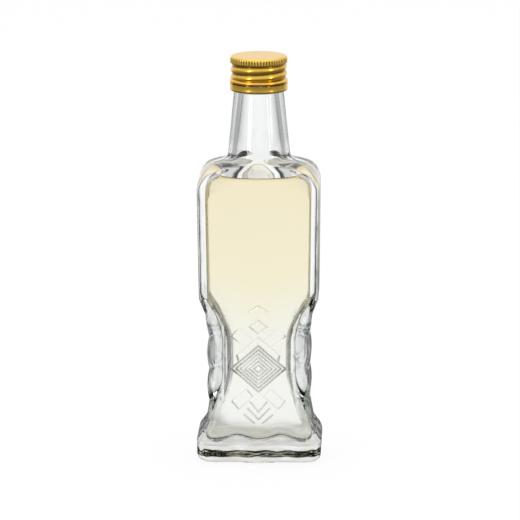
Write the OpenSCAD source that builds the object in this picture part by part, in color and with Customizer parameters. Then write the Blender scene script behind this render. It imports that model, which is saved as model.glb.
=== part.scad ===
// Miniature flat glass flask with a rolled-on aluminium screw cap, millimetres, +Z up.
// The origin is the middle of the base. The front, with the diamond relief, faces -Y.

/* [Body width and depth] */
// Width of the plinth at the foot
base_w = 40; // [36:0.1:48]
// Width of the waist, measured in its grooves
waist_w = 31.9; // [28:0.1:34]
// Width of the upper body where the bevel ends
chest_w = 38; // [36:0.1:44]
// Width of the upper body below the shoulder
shoulder_w = 39; // [36:0.1:46]
// Depth of the body, front to back
body_d = 23.6; // [22:0.1:30]

/* [Body heights] */
// Height of the straight plinth
plinth_h = 7.4; // [5:0.1:10]
// Height over which the plinth draws in to the waist
flare_h = 12.4; // [9:0.1:18]
// Height of the steep foot of the flare
kick_h = 6; // [5:0.1:8]
// Share of the flare's depth that lies above its steep foot
kick_share = 0.27; // [0.1:0.01:0.5]
// Distance between the grooves round the waist
groove_pitch = 10.4; // [8:0.1:13]
// Number of grooves round the waist
groove_count = 3; // [1:1:4]
// Height of the plain lobe above the last groove
top_lobe_h = 7.8; // [5:0.1:10]
// Height of the bevel between waist and upper body
bevel_h = 5.3; // [4:0.1:8]
// Height of the flat upper panel
panel_h = 35.4; // [25:0.1:60]

/* [Corners and facets] */
// Radius of the heel between base and sides
heel_r = 3.4; // [2:0.1:4]
// Corner radius of the plinth in plan
plinth_corner_r = 3; // [2:0.1:4.5]
// Corner radius of the upper body in plan
chest_corner_r = 1.9; // [1:0.1:3]
// Width of the flat front panel at the waist
panel_w = 22; // [18:0.1:24]
// How far the waist's corner facets reach back from the front
facet_d = 6; // [4:0.1:8]
// Height over which the front panel widens to the upper body
panel_widen_h = 11; // [8:0.1:15]
// How far the grooves rise from the side to the front panel
groove_rise = 3.3; // [0:0.1:3.6]
// How far the lobes stand out between two grooves
lobe_out = 0.65; // [0.2:0.05:0.8]
// How far the top lobe stands out under the bevel
top_swell = 1; // [0.4:0.1:1.6]

/* [Shoulder and neck] */
// Radius of the shoulder seen from the front
shoulder_r = 8; // [4:0.1:9]
// Slope of the shoulder up to the neck, in degrees
shoulder_slope = 15; // [8:1:20]
// Height over which the shoulder stays square in plan
square_up = 5; // [0:0.5:6]
// Radius of the blend between shoulder and neck
neck_blend_r = 3; // [1:0.1:4]
// Outer diameter of the neck above the blend
neck_foot_d = 19.7; // [18:0.1:20.5]
// Outer diameter of the neck below the cap
neck_top_d = 15.8; // [15.5:0.1:16.4]
// Height of the neck from the shoulder to the cap
neck_h = 22; // [15:0.1:35]

/* [Glass wall] */
// Wall at the sides
side_wall = 2.6; // [2:0.1:3.2]
// Wall at front and back
face_wall = 2.3; // [1.8:0.1:3]
// Thickness of the glass floor
floor_t = 6.2; // [4:0.1:8]
// Corner radius of the cavity in plan, above the waist and at the floor
cavity_corner_r = 1; // [0.6:0.1:4]
// Wall at the sides of the waist
core_side_wall = 5.65; // [4:0.05:7]
// Wall at front and back of the waist
core_face_wall = 3.2; // [2.6:0.1:4.5]
// Corner radius of the cavity at the waist
core_corner_r = 3; // [2:0.1:7.5]
// Wall at the sides of the cavity's floor
foot_side_wall = 3.2; // [2.8:0.1:6]
// Radius of the cavity under the shoulder
vault_r = 3.4; // [2:0.1:5.3]
// Radius between the cavity's floor and its walls
floor_r = 3.6; // [3:0.1:5.5]
// Bore through the finish
bore_d = 10.6; // [9:0.1:11.5]
// Depth of the recess under the base
pushup_h = 0.9; // [0.4:0.1:2]
// Diameter of the recess under the base
recess_d = 16.8; // [12:0.1:19]

/* [Finish under the cap] */
// Diameter of the finish between its threads
root_d = 16; // [15.4:0.1:16.4]
// Height of the glass thread
thread_t = 0.5; // [0.3:0.05:0.6]
// Pitch of the thread
thread_pitch = 2.4; // [2.2:0.1:3]
// Turns of the thread
thread_turns = 1.5; // [1:0.25:1.5]
// Half the width of the thread at its foot
thread_half_w = 0.6; // [0.5:0.05:0.9]
// Diameter of the locking collar
collar_d = 17.2; // [16.9:0.1:17.3]
// Height of the locking collar
collar_h = 1.9; // [1.6:0.1:2.4]
// Clearance between the collar and the band's rolled edge
curl_gap = 0.3; // [0.2:0.05:0.5]
// Thickness of the rounded lip edge
lip_r = 0.5; // [0.2:0.05:0.8]

/* [Cap] */
// Diameter over the knurl
knurl_d = 18.2; // [18:0.1:19]
// Half the width of a bulge of the rolled thread at its foot
roll_half_w = 1.1; // [0.9:0.05:1.2]
// Height of the knurled edge
knurl_h = 2.5; // [2.2:0.1:3]
// Rounding of the cap's top edge
rim_r = 0.5; // [0.3:0.05:0.6]
// Number of teeth in the knurl
knurl_count = 60; // [40:1:72]
// Depth of the knurl
knurl_t = 0.18; // [0.1:0.01:0.25]
// Thickness of the aluminium
sheet_t = 0.28; // [0.2:0.01:0.3]
// Radial clearance between the cap's thread and the glass thread
thread_gap = 0.15; // [0.12:0.01:0.2]
// Diameter over the bead at the bottom of the cap
bead_d = 18.5; // [18.3:0.1:19]
// Height of the bead
bead_h = 0.9; // [0.6:0.1:1.1]
// Thickness of the sealing disc
liner_t = 1.2; // [0.8:0.1:1.5]
// Radial clearance between the cap and the sealing disc
liner_gap = 0.05; // [0.03:0.01:0.1]

/* [Tamper band] */
// Outer diameter of the band
band_d = 18.4; // [18.1:0.1:18.6]
// Height of the band
band_h = 2.4; // [2:0.1:2.8]
// Height of the cut between cap and band
slot_h = 0.36; // [0.2:0.02:0.5]
// Number of bridges across the cut
bridge_count = 8; // [4:1:12]
// Width of one bridge
bridge_w = 0.7; // [0.4:0.05:1]
// Inner diameter of the edge rolled under the collar
curl_d = 16.7; // [16.6:0.1:16.8]

/* [Contents] */
// Height of the liquid's surface above the shoulder's lower edge
fill_above_shoulder = 3.1; // [-20:0.1:5]
// Clearance between liquid and glass in the model
fill_gap = 0.05; // [0.03:0.01:0.1]

/* [Relief] */
// Height of the large diamond's middle above the flare
diamond_up = 11.8; // [11:0.1:16]
// Half width of the large diamond
diamond_w = 8.4; // [6:0.1:9]
// Half height of the large diamond
diamond_h = 7.6; // [7:0.1:10]
// Number of nested diamonds
diamond_rings = 6; // [2:1:6]
// Width of a relief line
line_w = 0.45; // [0.3:0.05:0.6]
// Depth of a relief line
line_t = 0.35; // [0.2:0.05:0.5]

/* [Hidden] */
$fn = 96;
bite = 0.05; // how far joined or cut solids reach into each other
round_steps = 6; // steps along a rounded edge of the body
facet_steps = 8; // steps across one corner of a section
blend_steps = 8; // steps along one groove, flare or bevel
thread_step = 7.5; // degrees between two rings of the thread
thread_fade = 45; // degrees over which the thread fades in and out
skirt_step = 6; // degrees between two columns of the rolled thread
skirt_rows = 20; // rows along the rolled thread
round_n = 2; // exponent of a round corner in plan
facet_n = 1.3; // exponent of a faceted corner outside
core_lead = 2; // how far below the top groove the cavity starts to widen
core_trail = 1; // how far above the chest it has widened
arch_lead = 3; // how far below the shoulder the cavity starts to round off in plan
arch_trail = 5; // how far above the shoulder it is an ellipse

// Heights of the body
flare_z = plinth_h + flare_h;
top_groove_z = flare_z + (groove_count - 1) * groove_pitch;
bevel_z = top_groove_z + top_lobe_h;
chest_z = bevel_z + bevel_h;
shoulder_z = chest_z + panel_h;
shoulder_top_z = shoulder_z + shoulder_r * cos(shoulder_slope);
shoulder_top_x = shoulder_w / 2 - shoulder_r * (1 - sin(shoulder_slope));
neck_z = shoulder_top_z + (shoulder_top_x - neck_foot_d / 2) * tan(shoulder_slope);
blend_top_z = neck_z + neck_blend_r * (1 - sin(shoulder_slope)) / cos(shoulder_slope);
blend_z = blend_top_z - neck_blend_r * cos(shoulder_slope);

// Heights of the cap and finish
cap_z = neck_z + neck_h;
slot_z = cap_z + band_h;
skirt_z = slot_z + slot_h;
bead_z = skirt_z + bead_h;
thread_z = bead_z + thread_half_w;
knurl_z = thread_z + thread_pitch * thread_turns + thread_half_w + thread_gap;
cap_top_z = knurl_z + knurl_h;
liner_z = cap_top_z - sheet_t - liner_t;
collar_z = cap_z + sheet_t + curl_gap;
finish_r = root_d / 2;
valley_r = finish_r + thread_gap;
crest_r = valley_r + thread_t;
cup_r = knurl_d / 2 - knurl_t;
fill_z = shoulder_z + fill_above_shoulder;
front_y = -body_d / 2;

function smooth(t) = let (c = min(1, max(0, t))) c * c * (3 - 2 * c);
function mix(a, b, t) = a + (b - a) * min(1, max(0, t));
function span(z, z0, z1) = (z - z0) / (z1 - z0);

// How far a level is raised where it meets the front panel, so that levels follow the grooves
function rise(z) = mix(groove_rise * smooth(span(z, plinth_h, flare_z)), 0, span(z, bevel_z, chest_z));

// Bulge of the lobes between two grooves, 0 in a groove and 1 halfway
function lobe(z) =
    let (f = (z - flare_z) / groove_pitch)
    z <= flare_z || z >= top_groove_z ? 0 : 4 * (f - floor(f)) * (1 - f + floor(f));

// Share of a rounded edge's radius that is still missing at a height above its start
function edge_gap(up, r) = up >= r ? 0 : r - sqrt(r * r - (r - up) * (r - up));

// How far the shoulder has drawn in at a level, seen from the front
function shoulder_in(z) =
    z <= shoulder_z ? 0
    : z < shoulder_top_z ? shoulder_r - sqrt(shoulder_r * shoulder_r - pow(z - shoulder_z, 2))
    : z < blend_z ? shoulder_w / 2 - shoulder_top_x + (z - shoulder_top_z) / tan(shoulder_slope)
    : (shoulder_w - neck_foot_d) / 2 - neck_blend_r
        + sqrt(max(0, neck_blend_r * neck_blend_r - pow(blend_top_z - z, 2)));

// Share of the plinth's extra width that is there at a level below the waist
kick_z = plinth_h + kick_h;
function flared(z) =
    mix(kick_share, 0, span(z, kick_z, flare_z))
    + (1 - kick_share) * (1 - smooth(span(z, plinth_h, kick_z)));

// Half width of the outside, without heel and shoulder
function half_w(z) =
    z <= flare_z ? waist_w / 2 + (base_w - waist_w) / 2 * flared(z)
    : z <= top_groove_z ? waist_w / 2 + lobe_out * lobe(z)
    : z <= bevel_z ? waist_w / 2 + top_swell * sin(90 * span(z, top_groove_z, bevel_z))
    : z <= chest_z ? mix(waist_w / 2 + top_swell, chest_w / 2, span(z, bevel_z, chest_z))
    : mix(chest_w / 2, shoulder_w / 2, span(z, chest_z, shoulder_z));

// 0 on the plinth and the upper body, 1 at the waist, for a true height on the front panel
panel_widen_z = bevel_z - groove_rise;
function waisted(z) =
    mix(smooth(span(z, plinth_h / 2, flare_z + groove_rise)), 0,
        span(z, panel_widen_z, panel_widen_z + panel_widen_h));

// Half width of the flat front panel
function panel_half_w(z) =
    let (corner = z < flare_z ? plinth_corner_r : chest_corner_r,
         plain = z < flare_z ? base_w / 2 : half_w(max(z, chest_z)))
    mix(plain - corner, panel_w / 2, waisted(z));

// A section's quarter corner from (a, -d) on the front to (w, -(d - c)) on the side
function corner_point(a, w, d, c, n, t) =
    [a + (w - a) * pow(sin(90 * t), 2 / n), -(d - c) - c * pow(cos(90 * t), 2 / n)];

// A full section from one quarter corner: list of [x, y, z]
function ring(corner) =
    let (m = len(corner))
    concat(
        [for (i = [0 : m - 1]) [corner[i].x, corner[i].y, corner[i].z]],
        [for (i = [0 : m - 1]) [corner[m - 1 - i].x, -corner[m - 1 - i].y, corner[m - 1 - i].z]],
        [for (i = [0 : m - 1]) [-corner[i].x, -corner[i].y, corner[i].z]],
        [for (i = [0 : m - 1]) [-corner[m - 1 - i].x, corner[m - 1 - i].y, corner[m - 1 - i].z]]);

// Outer quarter corner at a level. It ends as a circle where the neck starts
function outer_corner(z) =
    let (up = z + rise(z),
         heel = edge_gap(z, heel_r),
         dome = smooth(span(z, shoulder_z, blend_top_z)),
         turned = smooth(span(z, shoulder_z + square_up, blend_top_z)),
         w = half_w(min(z, shoulder_z)) - heel - shoulder_in(z),
         d = body_d / 2 - heel - (body_d - neck_foot_d) / 2 * pow(dome, 2),
         waist = waisted(up),
         c0 = mix(z < flare_z ? plinth_corner_r : chest_corner_r, facet_d, waist),
         a0 = panel_half_w(min(up, shoulder_z)) - heel - shoulder_in(z),
         a = max(0, mix(a0, 0, turned)),
         c = mix(c0, d, turned),
         n = mix(round_n, facet_n, waist),
         out = lobe(z) * lobe_out)
    [for (i = [0 : facet_steps])
        let (t = i / facet_steps, p = corner_point(a, w, d, c, n, t))
        [p.x, p.y - out * sin(90 * t) * cos(90 * t), z + rise(z) * (1 - t)]];

// 1 where the cavity is narrowest, 0 in the upper body and at the floor
core_z = (flare_z + top_groove_z) / 2;
core_top_z = max(core_z + bite, top_groove_z - core_lead);
function narrowed(z) =
    min(smooth(span(z, floor_t, core_z)), 1 - smooth(span(z, core_top_z, chest_z + core_trail)));

// Half width of the cavity below the shoulder, without the rounding of its floor
function core_half_w(z) =
    mix(z < core_z ? base_w / 2 - foot_side_wall : half_w(min(z, shoulder_z)) - side_wall,
        waist_w / 2 - core_side_wall, narrowed(z));

// The vault under the shoulder: an arc, then a soft rise to the neck
vault_z = shoulder_z + vault_r * cos(shoulder_slope);
vault_x = shoulder_w / 2 - side_wall - vault_r * (1 - sin(shoulder_slope));
cavity_top_z = blend_top_z - neck_blend_r / 2;
cavity_top_r = neck_foot_d / 2 - face_wall;
function vaulted(plain, z) =
    z <= shoulder_z ? plain
    : z < vault_z ? plain - vault_r + sqrt(vault_r * vault_r - pow(z - shoulder_z, 2))
    : mix(vault_x, cavity_top_r, sin(90 * min(1, span(z, vault_z, cavity_top_z))));

// Inner quarter corner at a level, drawn in by a gap. It ends as a circle at the neck
function cavity_corner(z, gap) =
    let (foot = edge_gap(z - floor_t, floor_r),
         dome = smooth(span(z, shoulder_z, cavity_top_z)),
         narrow = narrowed(z),
         w = vaulted(core_half_w(z) - foot, z) - gap,
         plain_d = body_d / 2 - mix(face_wall, core_face_wall, narrow) - foot,
         d = mix(plain_d, cavity_top_r, dome) - gap,
         arch = smooth(span(z, shoulder_z - arch_lead, shoulder_z + arch_trail)),
         c = mix(mix(cavity_corner_r, core_corner_r, narrow), d, arch),
         a = max(0, mix(w - c, 0, arch)))
    [for (i = [0 : facet_steps]) let (p = corner_point(a, w, d, c, round_n, i / facet_steps)) [p.x, p.y, z]];

// Levels of a stretch, with its first one and without its last
function levels(z0, z1, steps) = [for (i = [0 : steps - 1]) z0 + (z1 - z0) * i / steps];
// Levels that crowd towards the start of a rounded edge
function eased_levels(z0, z1, steps) = [for (i = [0 : steps - 1]) z0 + (z1 - z0) * (1 - cos(90 * i / steps))];

outer_levels = concat(
    eased_levels(0, heel_r, round_steps),
    levels(heel_r, plinth_h, 1),
    levels(plinth_h, flare_z, blend_steps),
    [for (k = [0 : max(0, groove_count - 2)]) each (groove_count > 1
        ? levels(flare_z + k * groove_pitch, flare_z + (k + 1) * groove_pitch, blend_steps) : [])],
    levels(top_groove_z, bevel_z, blend_steps / 2),
    levels(bevel_z, chest_z, blend_steps / 2),
    levels(chest_z, chest_z + panel_widen_h, blend_steps / 2),
    levels(chest_z + panel_widen_h, shoulder_z, 1),
    levels(shoulder_z, shoulder_top_z, round_steps + 2),
    levels(shoulder_top_z, blend_z, 2),
    levels(blend_z, blend_top_z, round_steps),
    [blend_top_z]);

function cavity_levels(top_z) = [for (z = concat(
    eased_levels(floor_t + bite, floor_t + floor_r, round_steps),
    levels(floor_t + floor_r, core_z, blend_steps * 2),
    levels(core_z, core_top_z, 1),
    levels(core_top_z, chest_z + core_trail, blend_steps * 2),
    levels(chest_z + core_trail, shoulder_z - arch_lead, 2),
    levels(shoulder_z - arch_lead, shoulder_z, blend_steps / 2),
    levels(shoulder_z, vault_z, round_steps),
    levels(vault_z, cavity_top_z, round_steps)))
    if (z < top_z - bite) z];

// A closed solid through a stack of sections, its ends flat
module loft(rings) {
    m = len(rings[0]);
    last = len(rings) - 1;
    sides = [for (k = [0 : last - 1], i = [0 : m - 1])
        let (j = (i + 1) % m)
        each [[k * m + i, (k + 1) * m + i, k * m + j], [k * m + j, (k + 1) * m + i, (k + 1) * m + j]]];
    polyhedron([for (r = rings) each r],
        concat([[for (i = [0 : m - 1]) i]], sides, [[for (i = [m - 1 : -1 : 0]) last * m + i]]));
}

module glass_outside() loft([for (z = outer_levels) ring(outer_corner(z))]);

module cavity(gap, top_z) loft([for (z = concat(cavity_levels(top_z), [top_z])) ring(cavity_corner(z, gap))]);

// Neck and finish as one turned solid, with the collar and the rounded lip
module neck_outside() {
    foot_r = (neck_foot_d + bite) / 2;
    top_r = neck_top_d / 2;
    collar_r = collar_d / 2;
    chamfer = (collar_r - finish_r) / 2;
    collar_top_z = collar_z + collar_h;
    rotate_extrude()
        polygon(concat(
            [[0, blend_z], [foot_r, blend_z], [foot_r, blend_top_z],
             [top_r, cap_z - bite], [finish_r, cap_z + bite],
             [finish_r, collar_z], [collar_r, collar_z + chamfer], [collar_r, collar_top_z - chamfer],
             [finish_r, collar_top_z], [finish_r, liner_z - lip_r]],
            [for (a = [30 : 30 : 90])
                [finish_r - lip_r * (1 - cos(a)), liner_z - lip_r * (1 - sin(a))]],
            [[0, liner_z]]));
}

module neck_bore() {
    foot_r = cavity_top_r + bite / 2;
    taper_top_z = cap_z - bite;
    rotate_extrude()
        polygon([[0, cavity_top_z - bite], [foot_r, cavity_top_z - bite], [foot_r, cavity_top_z],
                 [bore_d / 2, taper_top_z], [bore_d / 2, cap_top_z], [0, cap_top_z]]);
}

// Height of a thread's crest above its root, at an axial distance from its middle
function crest(away) = abs(away) >= thread_half_w ? 0 : thread_t * pow(cos(90 * away / thread_half_w), 2);

// The glass thread: a ridge that fades in and out at its ends
module glass_thread() {
    count = round(360 * thread_turns / thread_step);
    fade = thread_fade / thread_step;
    shape = [for (s = [-1 : 0.25 : 1]) s];
    foot_r = finish_r - thread_t;
    rings = [for (k = [0 : count])
        let (angle = -180 + k * thread_step,
             z = thread_z + thread_pitch * k * thread_step / 360,
             full = smooth(min(k, count - k) / fade))
        concat(
            [for (s = shape)
                let (out = (1 + bite / thread_t) * crest(s * thread_half_w) * full, r = finish_r - bite + out)
                [r * cos(angle), r * sin(angle), z + s * thread_half_w]],
            [[foot_r * cos(angle), foot_r * sin(angle), z + thread_half_w],
             [foot_r * cos(angle), foot_r * sin(angle), z - thread_half_w]])];
    loft([for (r = rings) [for (i = [len(r) - 1 : -1 : 0]) r[i]]]);
}

// Line from one point of the front panel to another, as a bar to cut into it
module relief_line(p, q) {
    length = norm(q - p);
    translate([p.x, front_y + line_t, p.y])
        rotate([0, -atan2(q.y - p.y, q.x - p.x), 0])
        translate([-line_w / 2, -2 * line_t, -line_w / 2]) cube([length + line_w, 2 * line_t, line_w]);
}

module relief_path(points, closed = false) {
    last = len(points) - (closed ? 1 : 2);
    for (i = [0 : last]) relief_line(points[i], points[(i + 1) % len(points)]);
}

module diamond_line(z, w, h) relief_path([[0, z + h], [w, z], [0, z - h], [-w, z]], closed = true);

// A regular geometric pattern: nested diamonds, bars at their four sides and chevrons above and below
diamond_z = flare_z + diamond_up;
module relief() {
    // Places and sizes in halves of the large diamond
    bar_near = [0.45, 0.88];
    bar_long = [0.54, 0.52];
    bar_wide = [-0.25, 0.33];
    hood = [[0, 1.35], [0.8, 0.56], [0.74, 0.32]];
    small_up = 1.8;
    small_size = [0.32, 0.3];
    top_up = 2.7;
    top_arm = [0.36, 0.26];
    low_down = 1.87;
    low_step = 0.31;
    low_arm = [0.3, 0.42];
    low_grow = [0.11, 0.04];
    function place(side, p) = [side * p.x * diamond_w, diamond_z + p.y * diamond_h];
    for (i = [0 : diamond_rings - 1])
        let (share = 1 - i / diamond_rings)
        diamond_line(diamond_z, diamond_w * share, diamond_h * share);
    diamond_line(diamond_z + small_up * diamond_h, small_size.x * diamond_w, small_size.y * diamond_h);
    for (side = [-1, 1]) {
        for (end = [-1, 1])
            relief_path(closed = true, points = [
                for (p = [bar_near, bar_near + bar_long, bar_near + bar_long + bar_wide, bar_near + bar_wide])
                    place(side, [p.x, end * p.y])]);
        relief_path([for (p = hood) place(side, p)]);
        relief_path([place(side, [0, top_up]), place(side, [top_arm.x, top_up - top_arm.y])]);
        for (k = [0 : 2])
            let (down = low_down + low_step * k, arm = low_arm + k * low_grow)
            relief_path([place(side, [0, -down]), place(side, [arm.x, arm.y - down])]);
    }
}

module glass_bottle() color("lightcyan", 0.5)
    difference() {
        union() {
            glass_outside();
            neck_outside();
            glass_thread();
        }
        cavity(0, cavity_top_z);
        neck_bore();
        relief();
        translate([0, 0, -pushup_h]) cylinder(h = 2 * pushup_h, d = recess_d);
    }

module liquid() color("khaki", 0.6) cavity(fill_gap, fill_z);

// Radius of the cap's threaded skirt outside: the rolled thread, the valley above it and the bead below
function rolled(away) = abs(away) >= roll_half_w ? 0 : thread_t * cos(90 * away / roll_half_w);
function skirt_r(angle, z) =
    let (turn = (angle + 180) / 360,
         away = z - thread_z - thread_pitch * turn,
         near = away - thread_pitch * round(away / thread_pitch),
         foot = smooth((bead_z + thread_half_w / 2 - z) / thread_half_w * 2),
         head = 1 - smooth(span(z, knurl_z - roll_half_w / 2, knurl_z - bite)))
    valley_r + sheet_t + max(rolled(near) * head, thread_t * foot);

module rolled_thread() {
    bottom_z = bead_z - 2 * bite;
    height = knurl_z + bite - bottom_z;
    angles = [for (a = [0 : skirt_step : 360 - skirt_step]) a];
    m = len(angles);
    outside = [for (k = [0 : skirt_rows], a = angles)
        let (z = bottom_z + height * k / skirt_rows, r = skirt_r(a, z)) [r * cos(a), r * sin(a), z]];
    inside = [for (p = outside) let (in = 1 - sheet_t / norm([p.x, p.y])) [p.x * in, p.y * in, p.z]];
    n = len(outside);
    walls = [for (k = [0 : skirt_rows - 1], i = [0 : m - 1])
        let (j = (i + 1) % m, a = k * m + i, b = k * m + j, c = (k + 1) * m + i, d = (k + 1) * m + j)
        each [[a, c, b], [b, c, d], [n + a, n + b, n + c], [n + b, n + d, n + c]]];
    ends = [for (i = [0 : m - 1])
        let (j = (i + 1) % m, t = skirt_rows * m)
        each [[i, j, n + i], [j, n + j, n + i], [t + i, n + t + i, t + j], [t + j, n + t + i, n + t + j]]];
    polyhedron(concat(outside, inside), concat(walls, ends));
}

// The knurled cup at the top of the cap, of one sheet, its foot inside the wall of the rolled thread
module cap_cup() {
    inner_r = cup_r - sheet_t;
    knee_z = knurl_z + rim_r / 2;
    rim_z = cap_top_z - rim_r;
    rotate_extrude()
        polygon([[valley_r + sheet_t / 2, knurl_z - bite / 2],
                 [cup_r, knee_z], [cup_r, rim_z], [cup_r - rim_r, cap_top_z], [0, cap_top_z],
                 [0, cap_top_z - sheet_t], [cup_r - rim_r - sheet_t / 2, cap_top_z - sheet_t],
                 [inner_r, rim_z - sheet_t / 2], [inner_r, knee_z + sheet_t],
                 [valley_r + sheet_t / 2, knurl_z + sheet_t / 2]]);
    difference() {
        translate([0, 0, knee_z]) linear_extrude(rim_z - knee_z)
            polygon([for (i = [0 : knurl_count - 1], half = [0, 1])
                let (a = (i + half / 2) * 360 / knurl_count, r = mix(cup_r - bite, knurl_d / 2, half))
                [r * cos(a), r * sin(a)]]);
        translate([0, 0, knurl_z]) cylinder(h = knurl_h, r = cup_r - sheet_t / 2);
    }
}

// The rounded bead that ends the cap, with the edge that the bridges stand on
module cap_bead() {
    roll_r = bead_h / 2;
    mid = [bead_d / 2 - roll_r, skirt_z + roll_r];
    wall_r = crest_r + sheet_t / 4;
    edge_r = bead_d / 2 - roll_r / 2;
    rotate_extrude()
        polygon(concat(
            [[wall_r, bead_z]],
            [for (a = [60 : -30 : -60]) mid + roll_r * [cos(a), sin(a)]],
            [[edge_r, skirt_z], [edge_r - sheet_t, skirt_z]],
            [for (a = [-60 : 30 : 60]) mid + (roll_r - sheet_t) * [cos(a), sin(a)]],
            [[wall_r, bead_z - sheet_t]]));
}

// Half of each bridge, standing on one side of the cut
module bridge_halves(z) {
    for (i = [0 : bridge_count - 1])
        rotate([0, 0, -90 + (i + 0.5) * 360 / bridge_count])
        translate([band_d / 2 - sheet_t * 3 / 4, -bridge_w / 2, z])
        cube([sheet_t / 2, bridge_w, slot_h / 2 + bite]);
}

module cap_shell() color("goldenrod") {
    cap_cup();
    rolled_thread();
    cap_bead();
    bridge_halves(slot_z + slot_h / 2);
}

module cap_liner() color("whitesmoke")
    translate([0, 0, liner_z]) cylinder(h = liner_t, r = cup_r - rim_r - sheet_t / 2 - liner_gap);

module tamper_band() color("darkgoldenrod") {
    outer_r = band_d / 2;
    rotate_extrude()
        polygon([[curl_d / 2, cap_z], [outer_r - sheet_t, cap_z], [outer_r, cap_z + sheet_t],
                 [outer_r, slot_z], [outer_r - sheet_t, slot_z], [outer_r - sheet_t, cap_z + sheet_t],
                 [curl_d / 2, cap_z + sheet_t]]);
    bridge_halves(slot_z - bite);
}

glass_bottle();
liquid();
cap_shell();
cap_liner();
tamper_band();
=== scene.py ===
"""Looks of a miniature glass flask of pale spirit with a gold aluminium screw cap.

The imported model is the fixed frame. Each sub-assembly below builds its own detailed meshes in that
frame, in millimetres that are turned into metres once, and dresses them with node materials.
"""

import logging
import math
from dataclasses import dataclass, field
from enum import Enum
from typing import Any

import bpy
import numpy as np
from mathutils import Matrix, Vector


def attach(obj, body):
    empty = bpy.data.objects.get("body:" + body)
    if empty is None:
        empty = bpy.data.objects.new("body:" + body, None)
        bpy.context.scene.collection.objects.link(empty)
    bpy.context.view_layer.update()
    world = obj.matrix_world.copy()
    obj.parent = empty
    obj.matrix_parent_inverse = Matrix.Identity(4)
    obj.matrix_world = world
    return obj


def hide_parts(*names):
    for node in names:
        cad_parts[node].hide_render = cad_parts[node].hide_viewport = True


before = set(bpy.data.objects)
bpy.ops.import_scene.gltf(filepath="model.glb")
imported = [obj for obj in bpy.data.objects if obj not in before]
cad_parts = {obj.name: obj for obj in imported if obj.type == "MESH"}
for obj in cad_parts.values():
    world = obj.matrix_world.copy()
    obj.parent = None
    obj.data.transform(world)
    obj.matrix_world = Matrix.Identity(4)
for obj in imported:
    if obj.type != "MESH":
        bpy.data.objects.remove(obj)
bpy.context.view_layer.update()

MM = 0.001
TURN = 360.0
log = logging.getLogger("flask")

Array = np.ndarray
RGB = tuple[float, float, float]


# ---------------------------------------------------------------- small maths


def smooth(t: Any) -> Any:
    """Smooth step from 0 to 1, held at both ends."""
    c = np.clip(t, 0.0, 1.0)
    return c * c * (3 - 2 * c)


def mix(a: Any, b: Any, t: Any) -> Any:
    """Value between a and b at the share t, held at both ends."""
    return a + (b - a) * np.clip(t, 0.0, 1.0)


def span(z: Any, low: float, high: float) -> Any:
    """Share of the way from low to high at z."""
    return (z - low) / (high - low)


# ---------------------------------------------------------------- meshes


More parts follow.
